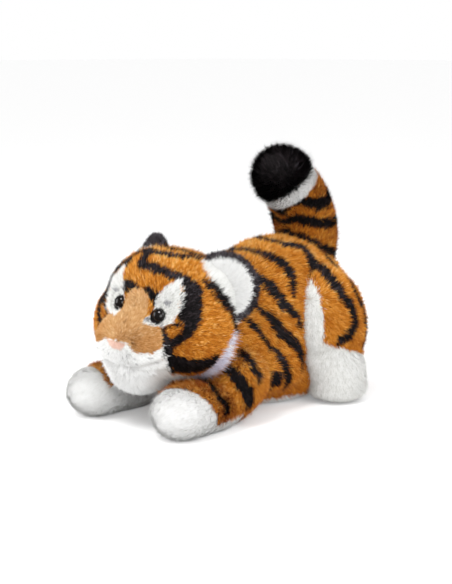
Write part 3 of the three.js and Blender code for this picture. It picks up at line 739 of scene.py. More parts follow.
def limb_surface(limb, side, creases):
    """Points and triangles of a limb."""
    inset = SKIN_INSET
    spine = limb_frame(limb, side, inset)
    total = spine["length"][-1]
    ring_share = (1 - np.cos(np.linspace(0, math.pi, LIMB_RINGS + 1))) / 2
    distance = inset + ring_share * (total - 2 * inset)
    centres, halves, across, upward = (
        np.stack([np.interp(distance, spine["length"], column) for column in spine[name].T], 1)
        for name in ("centres", "halves", "across", "upward")
    )
    cap = cap_share(distance - inset, limb["caps"][0] - inset)
    cap = cap * cap_share(total - inset - distance, limb["caps"][1] - inset)
    rings = round_rings(centres, across, upward, halves[:, 0] * cap, halves[:, 1] * cap, LIMB_SIDES)
    points, faces = closed_tube(rings[1:-1], centres[0], centres[-1])
    points = press_creases(points, vertex_normals(points, faces), creases)
    return press_on_floor(points), faces


# Markings

def laid_stripes(stripes, points, side, drift_seed=None):
    """Stripes in short steps, each step laid on the nearest vertex of the surface."""
    laid = []
    for stripe in stripes:
        places = np.array(stripe, float)
        steps = [places[:1]]
        for start, end in zip(places[:-1], places[1:]):
            count = max(int(np.linalg.norm(end[:3] - start[:3]) / STRIPE_STEP), 1)
            steps.append(start + (end - start) * (np.arange(1, count + 1) / count)[:, None])
        places = np.vstack(steps)
        if drift_seed is not None:
            places[:, :3] += noise_vectors(places[:, :3], STRIPE_DRIFT_SIZE, drift_seed) * STRIPE_DRIFT
        places[:, 0] *= side
        distance = ((places[:, None, :3] - points[None]) ** 2).sum(axis=2)
        places[:, :3] = points[distance.argmin(axis=1)]
        laid.append(places)
    return laid


def lines_level(points, lines):
    """How far inside the nearest line each point is: above 0 is inside."""
    level = np.full(len(points), NO_LEVEL)
    for line in lines:
        distance, where = segment_distance(points, line)
        half = np.interp(where, range(len(line)), line[:, 3]) / 2 + STRIPE_EDGE
        level = np.maximum(level, half - distance)
    return level


def stripe_levels(seen, points, stripes, sides=(1, -1)):
    """The level of each seen place in stripes; those on the right drift off the mirror image."""
    lines = []
    for side in sides:
        lines += laid_stripes(stripes, points, side, DRIFT_SEED if side < 0 else None)
    return lines_level(seen, lines)


def tangent(directions, normals):
    """Directions laid flat on a surface."""
    return unit(directions - normals * (directions * normals).sum(axis=1, keepdims=True))


def under_tips(points, normals, combed, length):
    """The place that each strand covers: markings are read there, not at the strand's root."""
    reach = np.broadcast_to(length, len(points)) * MARKING_REACH_SHARE
    return points + tangent(combed, normals) * reach[:, None]


def zone_level(across, upward, half):
    """How far inside a face zone each point is: it closes over the middle or is repeated on both sides."""
    outline = half
    if half[0][0] == 0:
        outline = half + [(-x, z) for x, z in reversed(half) if x > 0]
    else:
        across = np.abs(across)
    nearest = np.full(len(across), FAR_AWAY)
    inside = np.zeros(len(across), bool)
    for (ax, az), (bx, bz) in zip(outline[-1:] + outline[:-1], outline):
        span_x, span_z = bx - ax, bz - az
        share = np.clip(((across - ax) * span_x + (upward - az) * span_z) / (span_x ** 2 + span_z ** 2), 0, 1)
        nearest = np.minimum(nearest, np.hypot(across - ax - share * span_x, upward - az - share * span_z))
        crosses = (az > upward) != (bz > upward)
        slope = span_x / (span_z if abs(span_z) > TINY else TINY)
        inside ^= crosses & (across < ax + (upward - az) * slope)
    return np.where(inside, nearest, -nearest)


def past_plane(points, plane):
    """How far past a plane, given by a place and a direction, each point lies."""
    return (points - np.array(plane[0])) @ np.array(plane[1])


def striped(level, jitter):
    """Orange fur with black where the level is above 0."""
    return np.where(level + jitter > 0, BLACK, ORANGE)


def torso_kind(points, jitter, level):
    kind = striped(level, jitter)
    kind[points[:, 2] < BELLY_TOP + jitter] = WHITE
    return kind


def front_leg_kind(points, jitter, level):
    kind = striped(level, jitter)
    folded = fold(points)
    white_height = UNDERARM["height"] + UNDERARM["rise_share"] * np.maximum(UNDERARM["x"] - folded[:, 0], 0)
    under = (folded[:, 2] < white_height + jitter) & (folded[:, 1] < UNDERARM["back"])
    kind[(past_plane(folded, PAW_SEAM) + jitter > 0) | under] = WHITE
    return kind


def hind_leg_kind(points, jitter, level):
    kind = striped(level, jitter)
    folded = fold(points)
    strip = (past_plane(folded, STRIP_SEAM) + jitter > 0) & (folded[:, 2] < STRIP_TOP)
    # The strip and the foot take the greyer white, as painted shade
    kind[strip | (past_plane(folded, FOOT_SEAM) + jitter > 0)] = SHADED_WHITE
    return kind


def tail_kind(points, jitter, level):
    kind = striped(level, jitter)
    past = past_plane(points, BAND_SEAM)
    kind[past + jitter > 0] = WHITE
    kind[past + jitter > BAND_WIDTH] = BLACK
    return kind


def eye_distance(points):
    """How far each point of the face is from the middle of the nearer eye, seen from the front."""
    return np.min([np.hypot(points[:, 0] - x, points[:, 2] - z) for x, z in EYE_PLACES.values()], axis=0)


def head_kind(points, jitter, level, ruff, lining):
    """The kind of fur on the head, in its own frame."""
    kind = striped(level, jitter)
    # The lining on the head takes the greyer white, as painted shade
    kind[(lining + jitter > 0) & (kind == ORANGE)] = SHADED_WHITE
    across, upward = points[:, 0], points[:, 2]
    aside = np.abs(across)
    front = points[:, 1] < FACE_BACK
    kind[(upward < THROAT["top"] + jitter) & (aside < THROAT["half"])] = WHITE
    kind[front & (zone_level(across, upward, MUZZLE_ZONE) + jitter > 0)] = WHITE
    # The brow patch takes the greyer white, as painted shade
    kind[front & (zone_level(across, upward, BROW_ZONE) + jitter > 0)] = SHADED_WHITE
    tan = front & (zone_level(across, upward, TAN_ZONE) + jitter * FINE_EDGE_SHARE > 0)
    kind[tan] = TAN
    pad_edge = CHEEK_PAD["radius"] + jitter * CHEEK_PAD["edge_share"]
    kind[tan & (np.hypot(aside - CHEEK_PAD["x"], upward - CHEEK_PAD["z"]) < pad_edge)] = PAD
    kind[front & (zone_level(across, upward, NOSE_ZONE) + jitter * NOSE_EDGE_SHARE > 0)] = PINK
    # The ruff is white fur in painted shade
    kind[ruff + jitter > 0] = SHADED_RUFF
    for x, z in WHISKER_SPOTS:
        kind[front & (np.hypot(aside - x, upward - z) < WHISKER_RADIUS)] = FLECK
    smudge = np.hypot((aside - SMUDGE["x"]) / SMUDGE["stretch_share"], upward - SMUDGE["z"])
    smudged = smudge + np.abs(jitter) * SMUDGE["edge_share"] < SMUDGE["radius"]
    kind[front & smudged & (kind == SHADED_WHITE)] = GREY
    for x, z, radius in LID_MARKS:
        kind[front & (np.hypot(across - x, upward - z) + jitter * FINE_EDGE_SHARE < radius)] = SMOKE
    rim = eye_distance(points) + jitter * FINE_EDGE_SHARE < EYE["radius"] + EYE["lid"]
    kind[front & rim & (kind != TAN)] = BLACK
    return kind


# Objects

def linear(colour):
    """A screen colour as the shader's own values."""
    return tuple(value / 12.92 if value <= 0.04045 else ((value + 0.055) / 1.055) ** 2.4 for value in colour)


def new_material(name, roughness, sheen=0.0, specular=FABRIC_SPECULAR):
    """A material with its principled shader and its node tree."""
    material = bpy.data.materials.new(name)
    material.use_nodes = True
    shader = material.node_tree.nodes["Principled BSDF"]
    shader.inputs["Roughness"].default_value = roughness
    shader.inputs["Sheen Weight"].default_value = sheen
    shader.inputs["Sheen Roughness"].default_value = SHEEN_ROUGHNESS
    shader.inputs["Specular IOR Level"].default_value = specular
    return material, shader


strand_materials = {}


def strand_material(colour):
    """The material of the strands of one shade."""
    if colour not in strand_materials:
        name = "fur_" + "_".join(str(round(value * 100)) for value in colour)
        material, shader = new_material(name, *(DARK_GLOSS if sum(colour) < DARK_SUM else PALE_GLOSS))
        shader.inputs["Base Color"].default_value = (*linear(colour), 1)
        strand_materials[colour] = material
    return strand_materials[colour]


def build_nodes(tree, kinds, wires):
    """Adds shader nodes of the given kinds with their input values, and wires outputs to inputs."""
    nodes = {node.name: node for node in tree.nodes}
    for name, (kind, values) in kinds.items():
        nodes[name] = tree.nodes.new(f"ShaderNode{kind}")
        for key, value in values.items():
            nodes[name].inputs[key].default_value = value
    for start, output, end, entry in wires:
        tree.links.new(nodes[start].outputs[output], nodes[end].inputs[entry])
    return nodes


def skin_material():
    """Woven backing under the fur: the marking's colour, darkened as painted shade deep in the pile, with a
    fine uneven weave.
    """
    material, _ = new_material("plush_backing", WEAVE["roughness"], WEAVE["sheen"])
    nodes = build_nodes(material.node_tree, {
        "marking": ("Attribute", {}),
        "weave": ("TexNoise", {"Scale": WEAVE["scale"], "Detail": WEAVE["detail"]}),
        "tone": ("MapRange", {"To Min": WEAVE["darkest"], "To Max": WEAVE["lightest"]}),
        "shaded": ("VectorMath", {}),
        "bump": ("Bump", {"Strength": WEAVE["bump"], "Distance": WEAVE["bump_depth"]}),
    }, [
        ("weave", "Fac", "tone", "Value"),
        ("marking", "Color", "shaded", "Vector"),
        ("shaded", "Vector", "Principled BSDF", "Base Color"),
        ("weave", "Fac", "bump", "Height"),
        ("bump", "Normal", "Principled BSDF", "Normal"),
    ])
    nodes["marking"].attribute_name = "marking"
    nodes["shaded"].operation = "SCALE"
    material.node_tree.links.new(nodes["tone"].outputs["Result"], nodes["shaded"].inputs["Scale"])
    return material


def plastic_material(name, look):
    """Plastic with a fine grain between two colours."""
    material, _ = new_material(name, look["roughness"], 0.0, look["specular"])
    nodes = build_nodes(material.node_tree, {
        "grain": ("TexNoise", {"Scale": look["grain"]}),
        "ramp": ("ValToRGB", {}),
    }, [
        ("grain", "Fac", "ramp", "Fac"),
        ("ramp", "Color", "Principled BSDF", "Base Color"),
    ])
    for element, colour in zip(nodes["ramp"].color_ramp.elements, look["colours"]):
        element.color = (*colour, 1)
    return material


SKIN_MATERIAL = skin_material()


def add_object(name, data):
    """An object of the scene that holds the given data."""
    added = bpy.data.objects.new(name, data)
    bpy.context.scene.collection.objects.link(added)
    return added


def mesh_object(name, points, faces):
    """A smooth mesh object from points in metres and faces of three or four corners."""
    mesh = bpy.data.meshes.new(name)
    faces = np.asarray(faces)
    mesh.vertices.add(len(points))
    mesh.vertices.foreach_set("co", np.asarray(points, np.float32).ravel())
    mesh.loops.add(faces.size)
    mesh.loops.foreach_set("vertex_index", faces.ravel().astype(np.int32))
    mesh.polygons.add(len(faces))
    mesh.polygons.foreach_set("loop_start", np.arange(0, faces.size, faces.shape[1], dtype=np.int32))
    mesh.update(calc_edges=True)
    mesh.shade_smooth()
    return add_object(name, mesh)


def skin_object(name, points, faces, kinds):
    """A skin with the colour of its marking on each vertex: the fur's last root colour, darkened as painted
    shade deep in the pile.
    """
    piece = mesh_object(name, to_row(points), faces)
    colours = np.ones((len(points), 4), np.float32)
    for kind, (roots, _) in FUR_SHADES.items():
        colours[kinds == kind, :3] = linear(roots[-1])
    attribute = piece.data.color_attributes.new("marking", "FLOAT_COLOR", "POINT")
    attribute.data.foreach_set("color", colours.ravel())
    piece.data.materials.append(SKIN_MATERIAL)
    return piece


def scatter(points, faces, levels, density):
    """Random even places on a surface, with their normals and their share of a value held by the vertices."""
    corner = points[faces]
    cross = np.cross(corner[:, 1] - corner[:, 0], corner[:, 2] - corner[:, 0])
    area = np.linalg.norm(cross, axis=1) / 2
    count = int(area.sum() * density)
    chosen = rng.choice(len(faces), count, p=area / area.sum())
    first, second = rng.random(count), rng.random(count)
    over = first + second > 1
    first[over], second[over] = 1 - first[over], 1 - second[over]
    weights = np.stack([1 - first - second, first, second], axis=1)[..., None]
    normals = vertex_normals(points, faces)
    places = (corner[chosen] * weights).sum(axis=1)
    normals = unit((normals[faces[chosen]] * weights).sum(axis=1))
    corners = levels[faces[chosen]]
    return places, normals, (corners * (weights if corners.ndim == 3 else weights[..., 0])).sum(axis=1)


def leaning(along, normals, lift):
    """Directions that lean along the surface and stand up from it by an angle."""
    return along * np.cos(lift)[:, None] + normals * np.sin(lift)[:, None]


def grow_strands(name, roots, normals, combed, kinds, coats):
    """One mesh of bent flat strands. coats holds each strand's length and lifts."""
    count = len(roots)
    along = tangent(combed, normals)
    middles, numbers = tufts(roots, CLUMP_SIZE)
    ruffled = np.where(np.isin(kinds, PALE_KINDS), SMOOTH_SHARE, 1.0)[:, None]
    leans = np.random.default_rng(SEED + 1).normal(0, CLUMP_LEAN, (TUFT_COUNT, 3))
    swirl = noise_vectors(roots, SWIRL_SIZE, SWIRL_SEED) * SWIRL_SHARE
    wander = rng.normal(0, COMB_SPREAD, (count, 3))
    along = tangent(unit(along + leans[numbers] * ruffled + swirl * ruffled + wander), normals)
    sideways = np.cross(normals, along)
    stray = rng.random(count) < STRAY_SHARE
    length = coats[:, 0] * rng.uniform(*LENGTH_SHARES, count) * np.where(stray, STRAY_LENGTH_SHARE, 1)
    root_lift = np.radians(coats[:, 1] + rng.normal(0, LIFT_SPREAD, count))
    tip_lift = np.radians(coats[:, 2] + rng.normal(0, LIFT_SPREAD, count) + STRAY_LIFT * stray)
    first, second = leaning(along, normals, root_lift), leaning(along, normals, tip_lift)
    pull = middles - roots
    pull = (pull - normals * (pull * normals).sum(axis=1, keepdims=True)) * CLUMP_PULL_SHARE * ruffled
    start = roots - normals * ROOT_SINK
    bend = start + first * (length * BEND_SHARE)[:, None]
    roll = rng.normal(0, ROLL_SPREAD, count)[:, None]
    edge = unit(sideways * np.cos(roll) + np.cross(first, sideways) * np.sin(roll))
    points = np.empty((count, 5, 3))
    points[:, 0] = start - edge * STRAND_ROOT_WIDTH / 2
    points[:, 1] = start + edge * STRAND_ROOT_WIDTH / 2
    points[:, 2] = bend + pull * BEND_PULL_SHARE + edge * STRAND_MIDDLE_WIDTH / 2
    points[:, 3] = bend + pull * BEND_PULL_SHARE - edge * STRAND_MIDDLE_WIDTH / 2
    points[:, 4] = bend + second * (length * (1 - BEND_SHARE))[:, None] + pull
    points[:, :, 2] = np.maximum(points[:, :, 2], STRAND_LOWEST)
    base = (np.arange(count) * 5)[:, None]
    pattern = np.array([[0, 2, 1], [0, 3, 2], [3, 4, 2]])
    faces = (base[:, :, None] + pattern[None]).reshape(-1, 3)
    piece = mesh_object(name, to_row(points.reshape(-1, 3)), faces)
    tones_and_top_light = np.random.default_rng(SEED + 2).random(TUFT_COUNT)[numbers] * TONE_AND_TOP_LIGHT_SHARES["tuft"]
    tones_and_top_light += rng.random(count) * TONE_AND_TOP_LIGHT_SHARES["strand"]
    tones_and_top_light += smooth_noise(roots, SWIRL_SIZE, TONE_SEED) * TONE_AND_TOP_LIGHT_SHARES["patch"]
    # Painted light from above: strands that face up take lighter tips
    tones_and_top_light += (normals[:, 2] - TOP_LIGHT_LEVEL) * TONE_AND_TOP_LIGHT_SHARES["upward"]
    paint_strands(piece, kinds, np.clip(tones_and_top_light, 0, TONE_MOST))
    shading = strand_shading(normals, unit(np.cross(edge, first)), second, ruffled)
    piece.data.normals_split_custom_set_from_vertices(shading.reshape(-1, 3).astype(np.float32))
    return piece


def strand_shading(normals, facing, second, ruffled):
    """Shading directions of the strands: mostly the skin's own, a little their own."""
    facing = facing * np.sign((facing * normals).sum(axis=1, keepdims=True))
    shading = np.empty((len(normals), 5, 3))
    lower = unit(normals * ROOT_SHARES["skin"] + facing * ROOT_SHARES["face"] * ruffled)
    shading[:, :4] = lower[:, None]
    own = second * TIP_SHARES["strand"] + facing * TIP_SHARES["face"]
    shading[:, 4] = unit(normals * TIP_SHARES["skin"] + own * ruffled)
    return shading


def paint_strands(piece, kinds, tones_and_top_light):
    """Gives each strand a darker root, painted shade deep in the pile, and a tip out of its kind's shades, by
    its tone from 0 to 1, which holds painted light from above.
    """
    slots = {}
    root_slot = np.zeros(len(kinds), np.int32)
    tip_slot = np.zeros(len(kinds), np.int32)
    for kind, (roots, tips) in FUR_SHADES.items():
        here = np.flatnonzero(kinds == kind)
        if not len(here):
            continue
        for colour in roots + tips:
            if colour not in slots:
                slots[colour] = len(slots)
                piece.data.materials.append(strand_material(colour))
        root_slot[here] = rng.choice([slots[colour] for colour in roots], len(here))
        tip_slot[here] = np.array([slots[colour] for colour in tips])[(tones_and_top_light[here] * len(tips)).astype(int)]
    lower_slot = np.where(tones_and_top_light > PALE_ROOT_TONE, tip_slot, root_slot)
    pattern = np.stack([root_slot, lower_slot, tip_slot], axis=1).astype(np.int32)
    piece.data.polygons.foreach_set("material_index", pattern.ravel())


def coat_table(names_and_masks, count):
    """Length, root lift and tip lift for each strand, from the coats that cover it; later coats win."""
    table = np.zeros((count, 3))
    for name, mask in names_and_masks:
        table[mask] = COATS[name]
    return table


def jitter_for(points):
    """How far a marking's edge wanders at each strand."""
    soft = smooth_noise(points, EDGE_NOISE_SIZE, EDGE_SEED) * EDGE_NOISE
    return soft + rng.normal(0, EDGE_SPREAD, len(points))


# Where the forms bury each other no fur grows
TORSO_LIMBS = [limb_frame(form, side) for form in (FRONT_LEG, HIND_LEG) for side in (1, -1)]
TORSO_LIMBS.append(limb_frame(TAIL, 1))


def outside_torso(points):
    return lobed_depth(TORSO, points) < BURIED_REACH


def outside_head(points):
    return lobed_depth(HEAD, tiger_to_head(points)) < BURIED_REACH


def outside_limbs(points):
    clear = np.ones(len(points), bool)
    for spine in TORSO_LIMBS:
        clear &= limb_depth(spine, points)[0] < BURIED_DEPTH
    return clear


def riding(body):
    """Fastens a piece to one body."""
    return lambda piece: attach(piece, body)


def spanning():
    """Bakes a piece's placing into its points; the piece is not fastened to any body."""
    return lambda piece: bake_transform(piece)


def add_skin(name, points, faces, kinds, replaced, hold):
    """The skin of a padded form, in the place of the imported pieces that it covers."""
    skin = skin_object(name, points, faces, kinds)
    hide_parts(*replaced)
    hold(skin)


def add_fur(name, chosen, strands, hold):
    """The chosen strands of a form as one piece, which moves like its skin."""
    fur = grow_strands(name, *(values[chosen] for values in strands))
    hold(fur)


def comb_torso(points, side):
    """Backwards along the back, and more and more down the flanks."""
    flank = np.clip((COMB["flank_top"] - points[:, 2]) / COMB["flank_height"], 0, 1)
    down = COMB["back_share"] + COMB["flank_share"] * flank
    return np.stack([0 * down, 0 * down + 1, -down], axis=1)


def comb_front_leg(points, side):
    """Back and down on the shoulder, and along the sleeve and the paw towards its tip."""
    spine = limb_frame(FRONT_LEG, side)
    sleeve = np.clip((COMB["sleeve_start"] - points[:, 1]) / COMB["sleeve_length"], 0, 1)[:, None]
    ahead = spine["ahead"][limb_depth(spine, points)[1]] + np.array(COMB["sleeve_fall"])
    return ahead * sleeve + np.array(COMB["shoulder"]) * (1 - sleeve)


def comb_hind_leg(points, side):
    """Out from the groin over the thigh, and out from the ankle over the foot."""
    mirror = np.array([side, 1, 1])
    combed = points - COMB["groin"] * mirror
    foot = points[:, 2] < COMB["foot_top"]
    combed[foot] = points[foot] - COMB["ankle"] * mirror
    return combed


def comb_tail(points, side):
    spine = limb_frame(TAIL, side)
    return spine["ahead"][limb_depth(spine, points)[1]]


def comb_head(points, ruff):
    """Away from the nose, and down in the ruff."""
    combed = points - np.array(COMB["nose"])
    combed[:, 2] += np.where(ruff > RUFF_REACH, COMB["ruff_fall"], 0)
    return combed


def torso_coats(seen, kinds):
    return [("body", np.ones(len(kinds), bool))]


def leg_coats(seen, kinds):
    white = (kinds == WHITE) | (kinds == SHADED_WHITE)
    return [("body", ~white), ("paw", white)]


def tail_coats(seen, kinds):
    tip = past_plane(seen, BAND_SEAM) > BAND_WIDTH
    return [("tail", ~tip), ("brush", tip)]


LOOKS = {
    "torso": {
        "coat": "body", "coats": torso_coats, "comb": comb_torso, "kind": torso_kind,
        "stripes": TORSO_STRIPES, "clear": lambda points: outside_head(points) & outside_limbs(points),
        "panels": ("torso_back_skin", "torso_belly_panel", "torso_stuffing"),
    },
    "front_leg": {
        "form": FRONT_LEG, "creases": FRONT_LEG_CREASES,
        "coat": "paw", "coats": leg_coats, "comb": comb_front_leg, "kind": front_leg_kind,
        "stripes": FRONT_LEG_STRIPES, "clear": lambda points: outside_head(points) & outside_torso(points),
        "panels": ("front_leg_sleeve", "front_paw", "front_leg_stuffing"),
    },
    "hind_leg": {
        "form": HIND_LEG, "creases": HIND_LEG_CREASES,
        "coat": "paw", "coats": leg_coats, "comb": comb_hind_leg, "kind": hind_leg_kind,
        "stripes": HIND_LEG_STRIPES, "clear": outside_torso,
        "panels": ("thigh_skin", "thigh_front_strip", "hind_foot", "hind_leg_stuffing"),
    },
    "tail": {
        "form": TAIL, "creases": (),
        "coat": "tail", "coats": tail_coats, "comb": comb_tail, "kind": tail_kind, "stripes": TAIL_STRIPES,
        "clear": outside_torso, "panels": ("tail_sleeve", "tail_band", "tail_tip", "tail_stuffing"),
    },
}
HEAD_PANELS = ["head_skin", "head_stuffing", "nose_patch", "muzzle_bridge", "upper_lip", "chin_panel",
               "throat_panel", "brow_patch_left", "brow_patch_right"]


def clothe(name, points, faces, hold, side=1, sides=(1, -1), ending="", parts=None):
    """A form's skin with its markings and the fur on it; hold is called on each piece, to fasten it to a body
    or bake its placing.
    """
    look = LOOKS[name]
    length = COATS[look["coat"]][0]
    seen = under_tips(points, vertex_normals(points, faces), look["comb"](points, side), length)
    levels = stripe_levels(seen, points, look["stripes"], sides)
    add_skin(f"{name}_cover{ending}", points, faces, look["kind"](seen, 0 * levels, levels),
             [panel + ending for panel in look["panels"]], hold)
    places, normals, level = scatter(points, faces, levels, DENSITY[look["coat"]])
    keep = look["clear"](places)
    places, normals, level = places[keep], normals[keep], level[keep]
    combed = look["comb"](places, side)
    seen = under_tips(places, normals, combed, length)
    kinds = look["kind"](seen, jitter_for(places), level)
    strands = (places, normals, combed, kinds, coat_table(look["coats"](seen, kinds), len(places)))
    for part_name, part in (parts(places) if parts else [(ending, slice(None))]):
        add_fur(f"{name}_fur{part_name}", part, strands, hold)


def make_torso():
    points, faces = lobed_surface(TORSO, TORSO_BUMPS, TORSO_CREASES)
    clothe("torso", press_on_floor(points), faces, riding("torso"),
           parts=lambda places: [("_left", places[:, 0] >= 0), ("_right", places[:, 0] < 0)])


def make_limb(name, side=1, side_name=""):
    """A limb's skin and fur, with their placing baked into their points."""
    ending = f"_{side_name}" if side_name else ""
    points, faces = limb_surface(LOOKS[name]["form"], side, LOOKS[name]["creases"])
    hold = spanning()
    clothe(name, points, faces, hold, side, (side,) if side_name else (1, -1), ending)


def head_coats(points, ruff):
    """Length and lifts of the strand at each point of the head: short on the muzzle and round the eyes."""
    across, upward = points[:, 0], points[:, 2]
    front = points[:, 1] < FACE_BACK
    short = front & (zone_level(across, upward, TAN_ZONE) > 0)
    muzzle = front & (zone_level(across, upward, MUZZLE_ZONE) > 0)
    nose = front & (zone_level(across, upward, NOSE_ZONE) > 0)
    lash = front & (eye_distance(points) < EYE["radius"] + LASH_REACH)
    return coat_table([
        ("face", front), ("body", ~front), ("lip", muzzle), ("beard", muzzle & (upward < LIP_LOW)),
        ("muzzle", short), ("ruff", ruff > RUFF_REACH), ("nose", nose), ("lash", lash),
    ], len(points))


def make_head():
    points, faces = lobed_surface(HEAD, HEAD_BUMPS, HEAD_CREASES)
    ruff_lines = stripe_levels(points, points, [RUFF_LINE])
    combed = comb_head(points, ruff_lines)
    seen = under_tips(points, vertex_normals(points, faces), combed, head_coats(points, ruff_lines)[:, 0])
    levels = stripe_levels(seen, points, HEAD_STRIPES)
    levels = np.maximum(levels, lines_level(seen, laid_stripes(BROW_STRIPES, points, 1)))
    ruff_levels = stripe_levels(seen, points, [RUFF_LINE])
    linings = stripe_levels(seen, points, LINING_STRIPES)
    kinds = head_kind(seen, 0 * levels, levels, ruff_levels, linings)
    hold = riding("head")
    add_skin("head_cover", head_to_tiger(points), faces, kinds, HEAD_PANELS, hold)
    values = np.stack([levels, ruff_levels, ruff_lines, linings], axis=1)
    places, normals, mixed = scatter(points, faces, values, DENSITY["head"])
    level, ruff_level, ruff, lining = mixed.T
    coats = head_coats(places, ruff)
    combed = comb_head(places, ruff)
    seen = under_tips(places, normals, combed, coats[:, 0])
    kinds = head_kind(seen, jitter_for(places), level, ruff_level, lining)
    front = places[:, 1] < FACE_BACK
    dense = (rng.random(len(places)) < HEAD_FUR_SHARE) | np.isin(kinds, (TAN, PAD, PINK))
    clear = (eye_distance(places) > EYE["radius"] - EYE["overlap"]) | ~front
    tiger_places = head_to_tiger(places)
    keep = outside_torso(tiger_places) & clear & dense
    strands = (tiger_places, normals @ HEAD_TURN.T, combed @ HEAD_TURN.T, kinds, coats)
    add_fur("head_fur_face", keep & front, strands, hold)
    add_fur("head_fur_nape", keep & ~front, strands, hold)


def ear_basis(side):
    """The middle of an ear's seam and its directions, in the head's frame."""
    flip = np.array([side, 1, 1])
    top = EAR["seam_top"] * flip
    low = EAR["seam_low"] * flip
    along = unit(top - low)
    outward = EAR["lean"] * flip
    outward = unit(outward - along * (outward @ along))
    forward = np.cross(outward, along) * side
    middle = (top + low) / 2
    half_seam = np.linalg.norm(top - low) / 2
    if side < 0:
        middle = middle + np.array(EAR["far_shift"])
        half_seam = half_seam * EAR["far_size_share"]
    return middle, np.array([along, outward, forward]), half_seam


def lining_covers(side, along_share, outward_share, jitter=0):
    """Which places on an ear's front have the white lining; the far ear curls over most of its own."""
    shift_along, shift_outward, share = LINING_SHARES[side]
    return np.hypot(along_share - shift_along, outward_share - shift_outward) < share + jitter


def make_ear(side, side_name):
    middle, basis, half_seam = ear_basis(side)
    along, outward, forward = basis
    ball, faces = unit_ball(SMALL_BALL_LEVEL)
    flat = np.hypot(ball[:, 0], ball[:, 1])
    lift = ball[:, 2] * EAR["thickness"] - EAR["dish"] * (1 - flat ** 2)
    sizes = np.stack([ball[:, 0] * (half_seam + EAR["rim"]), ball[:, 1] * EAR["reach"], lift], axis=1)
    points = middle + sizes @ basis
    if np.linalg.det(basis) < 0:
        faces = faces[:, ::-1]
    # The ear's back is black fur greyed as painted light from above
    kinds = np.where((ball[:, 2] > 0) & lining_covers(side, ball[:, 0], ball[:, 1]), WHITE, TOP_LIT_BLACK)
    hold = spanning()
    add_skin(f"ear_cover_{side_name}", head_to_tiger(points), faces, kinds,
             [f"ear_lining_{side_name}", f"ear_back_{side_name}"], hold)
    places, normals, _ = scatter(points, faces, flat, DENSITY["ear"])
    away = places - middle
    jitter = jitter_for(places) * EAR["edge_share"]
    covered = lining_covers(side, away @ along / half_seam, away @ outward / EAR["reach"], jitter)
    kinds = np.where(((normals @ forward) > EAR["front_share"]) & covered, WHITE, TOP_LIT_BLACK)
    keep = lobed_depth(HEAD, places) < EAR["buried"]
    combed = away + outward * EAR["comb_reach"]
    coats = coat_table([("ear", np.ones(len(places), bool))], len(places))
    strands = (head_to_tiger(places), normals @ HEAD_TURN.T, combed @ HEAD_TURN.T, kinds, coats)
    add_fur(f"ear_fur_{side_name}", keep, strands, hold)


def head_surface_at(x, z):
    """The point and normal of the face where a line along the head's length meets it, bumps included."""
    heart = np.array(HEAD["heart"])
    direction = np.array([[x, FACE_GUESS, z]]) - heart
    for _ in range(FACE_STEPS):
        point = heart + unit(direction) * lobed_reach(HEAD, unit(direction), SKIN_INSET)[:, None]
        direction = np.array([[x, point[0, 1], z]]) - heart
    offsets = unit(direction + np.array([[0, 0, 0], [FACE_PROBE, 0, 0], [0, 0, FACE_PROBE]]))
    near = heart + offsets * lobed_reach(HEAD, offsets, SKIN_INSET)[:, None]
    normal = unit(np.cross(near[2] - near[0], near[1] - near[0]))
    normal = normal * -np.sign(normal[1])
    return raise_bumps(near[:1], normal[None], HEAD_BUMPS)[0], normal


def make_eye(side, side_name, material):
    seat, normal = head_surface_at(*EYE_PLACES[side])
    seat = seat - normal * EYE["sink"]
    angle = np.linspace(0, math.pi / 2, EYE["rings"], endpoint=False)
    dome = np.stack([EYE["radius"] * np.cos(angle), EYE["height"] * np.sin(angle)], axis=1)
    radius, height = np.vstack([EYE["rim"], dome]).T
    centres = seat + normal * height[:, None]
    across = unit(np.cross(normal, [[0, 0, 1.0]]))
    rings = round_rings(centres, across, np.cross(normal, across), radius, radius, EYE["steps"])
    points, faces = closed_tube(rings, centres[0], seat + normal * EYE["height"])
    piece = mesh_object(f"eye_dome_{side_name}", to_row(head_to_tiger(points)), faces)
    piece.data.materials.append(material)
    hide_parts(f"eye_{side_name}")
    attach(piece, "head")


def make_neck():
    ball, faces = unit_ball(SMALL_BALL_LEVEL)
    points = np.array(NECK_BALL) + ball * NECK_RADIUS
    kinds = np.full(len(points), ORANGE)
    add_skin("neck_core", points, faces, kinds, ["neck_stuffing"], riding("neck"))


def dress_washers():
    material = plastic_material("washer_moulded", WASHER_LOOK)
    for side_name in ("left", "right"):
        washer = frame["nodes"][f"eye_washer_{side_name}"]
        for slot in washer.material_slots:
            slot.material = material


def set_camera():
    """The photograph's camera: its place, lens and small shift."""
    azimuth = math.radians(CAMERA_AZIMUTH)
    elevation = math.radians(CAMERA_ELEVATION)
    level = math.cos(elevation)
    back = np.array([math.sin(azimuth) * level, -math.cos(azimuth) * level, math.sin(elevation)])
    data = bpy.data.cameras.new("camera")
    camera = add_object("camera", data)
    camera.location = to_row(np.array(CAMERA_TARGET) + back * CAMERA_DISTANCE)
    camera.rotation_euler = (math.pi / 2 - elevation, 0, azimuth)
    data.sensor_fit = "VERTICAL"
    data.sensor_height = SENSOR_HEIGHT
    data.lens = SENSOR_HEIGHT * FOCAL_PIXELS / IMAGE_HEIGHT
    data.shift_x = (IMAGE_WIDTH / 2 - TARGET_PIXEL[0]) / IMAGE_HEIGHT
    data.shift_y = (TARGET_PIXEL[1] - IMAGE_HEIGHT / 2) / IMAGE_HEIGHT
    data.clip_start = CLIP_START
    bpy.context.scene.camera = camera


def area_light(name, place, aim, size, power):
    data = bpy.data.lights.new(name, "AREA")
    data.shape = "DISK"
    data.size = size
    data.energy = power
    lamp = add_object(name, data)
    lamp.location = place
    lamp.rotation_euler = Vector(np.array(aim) - np.array(place)).to_track_quat("-Z", "Y").to_euler()


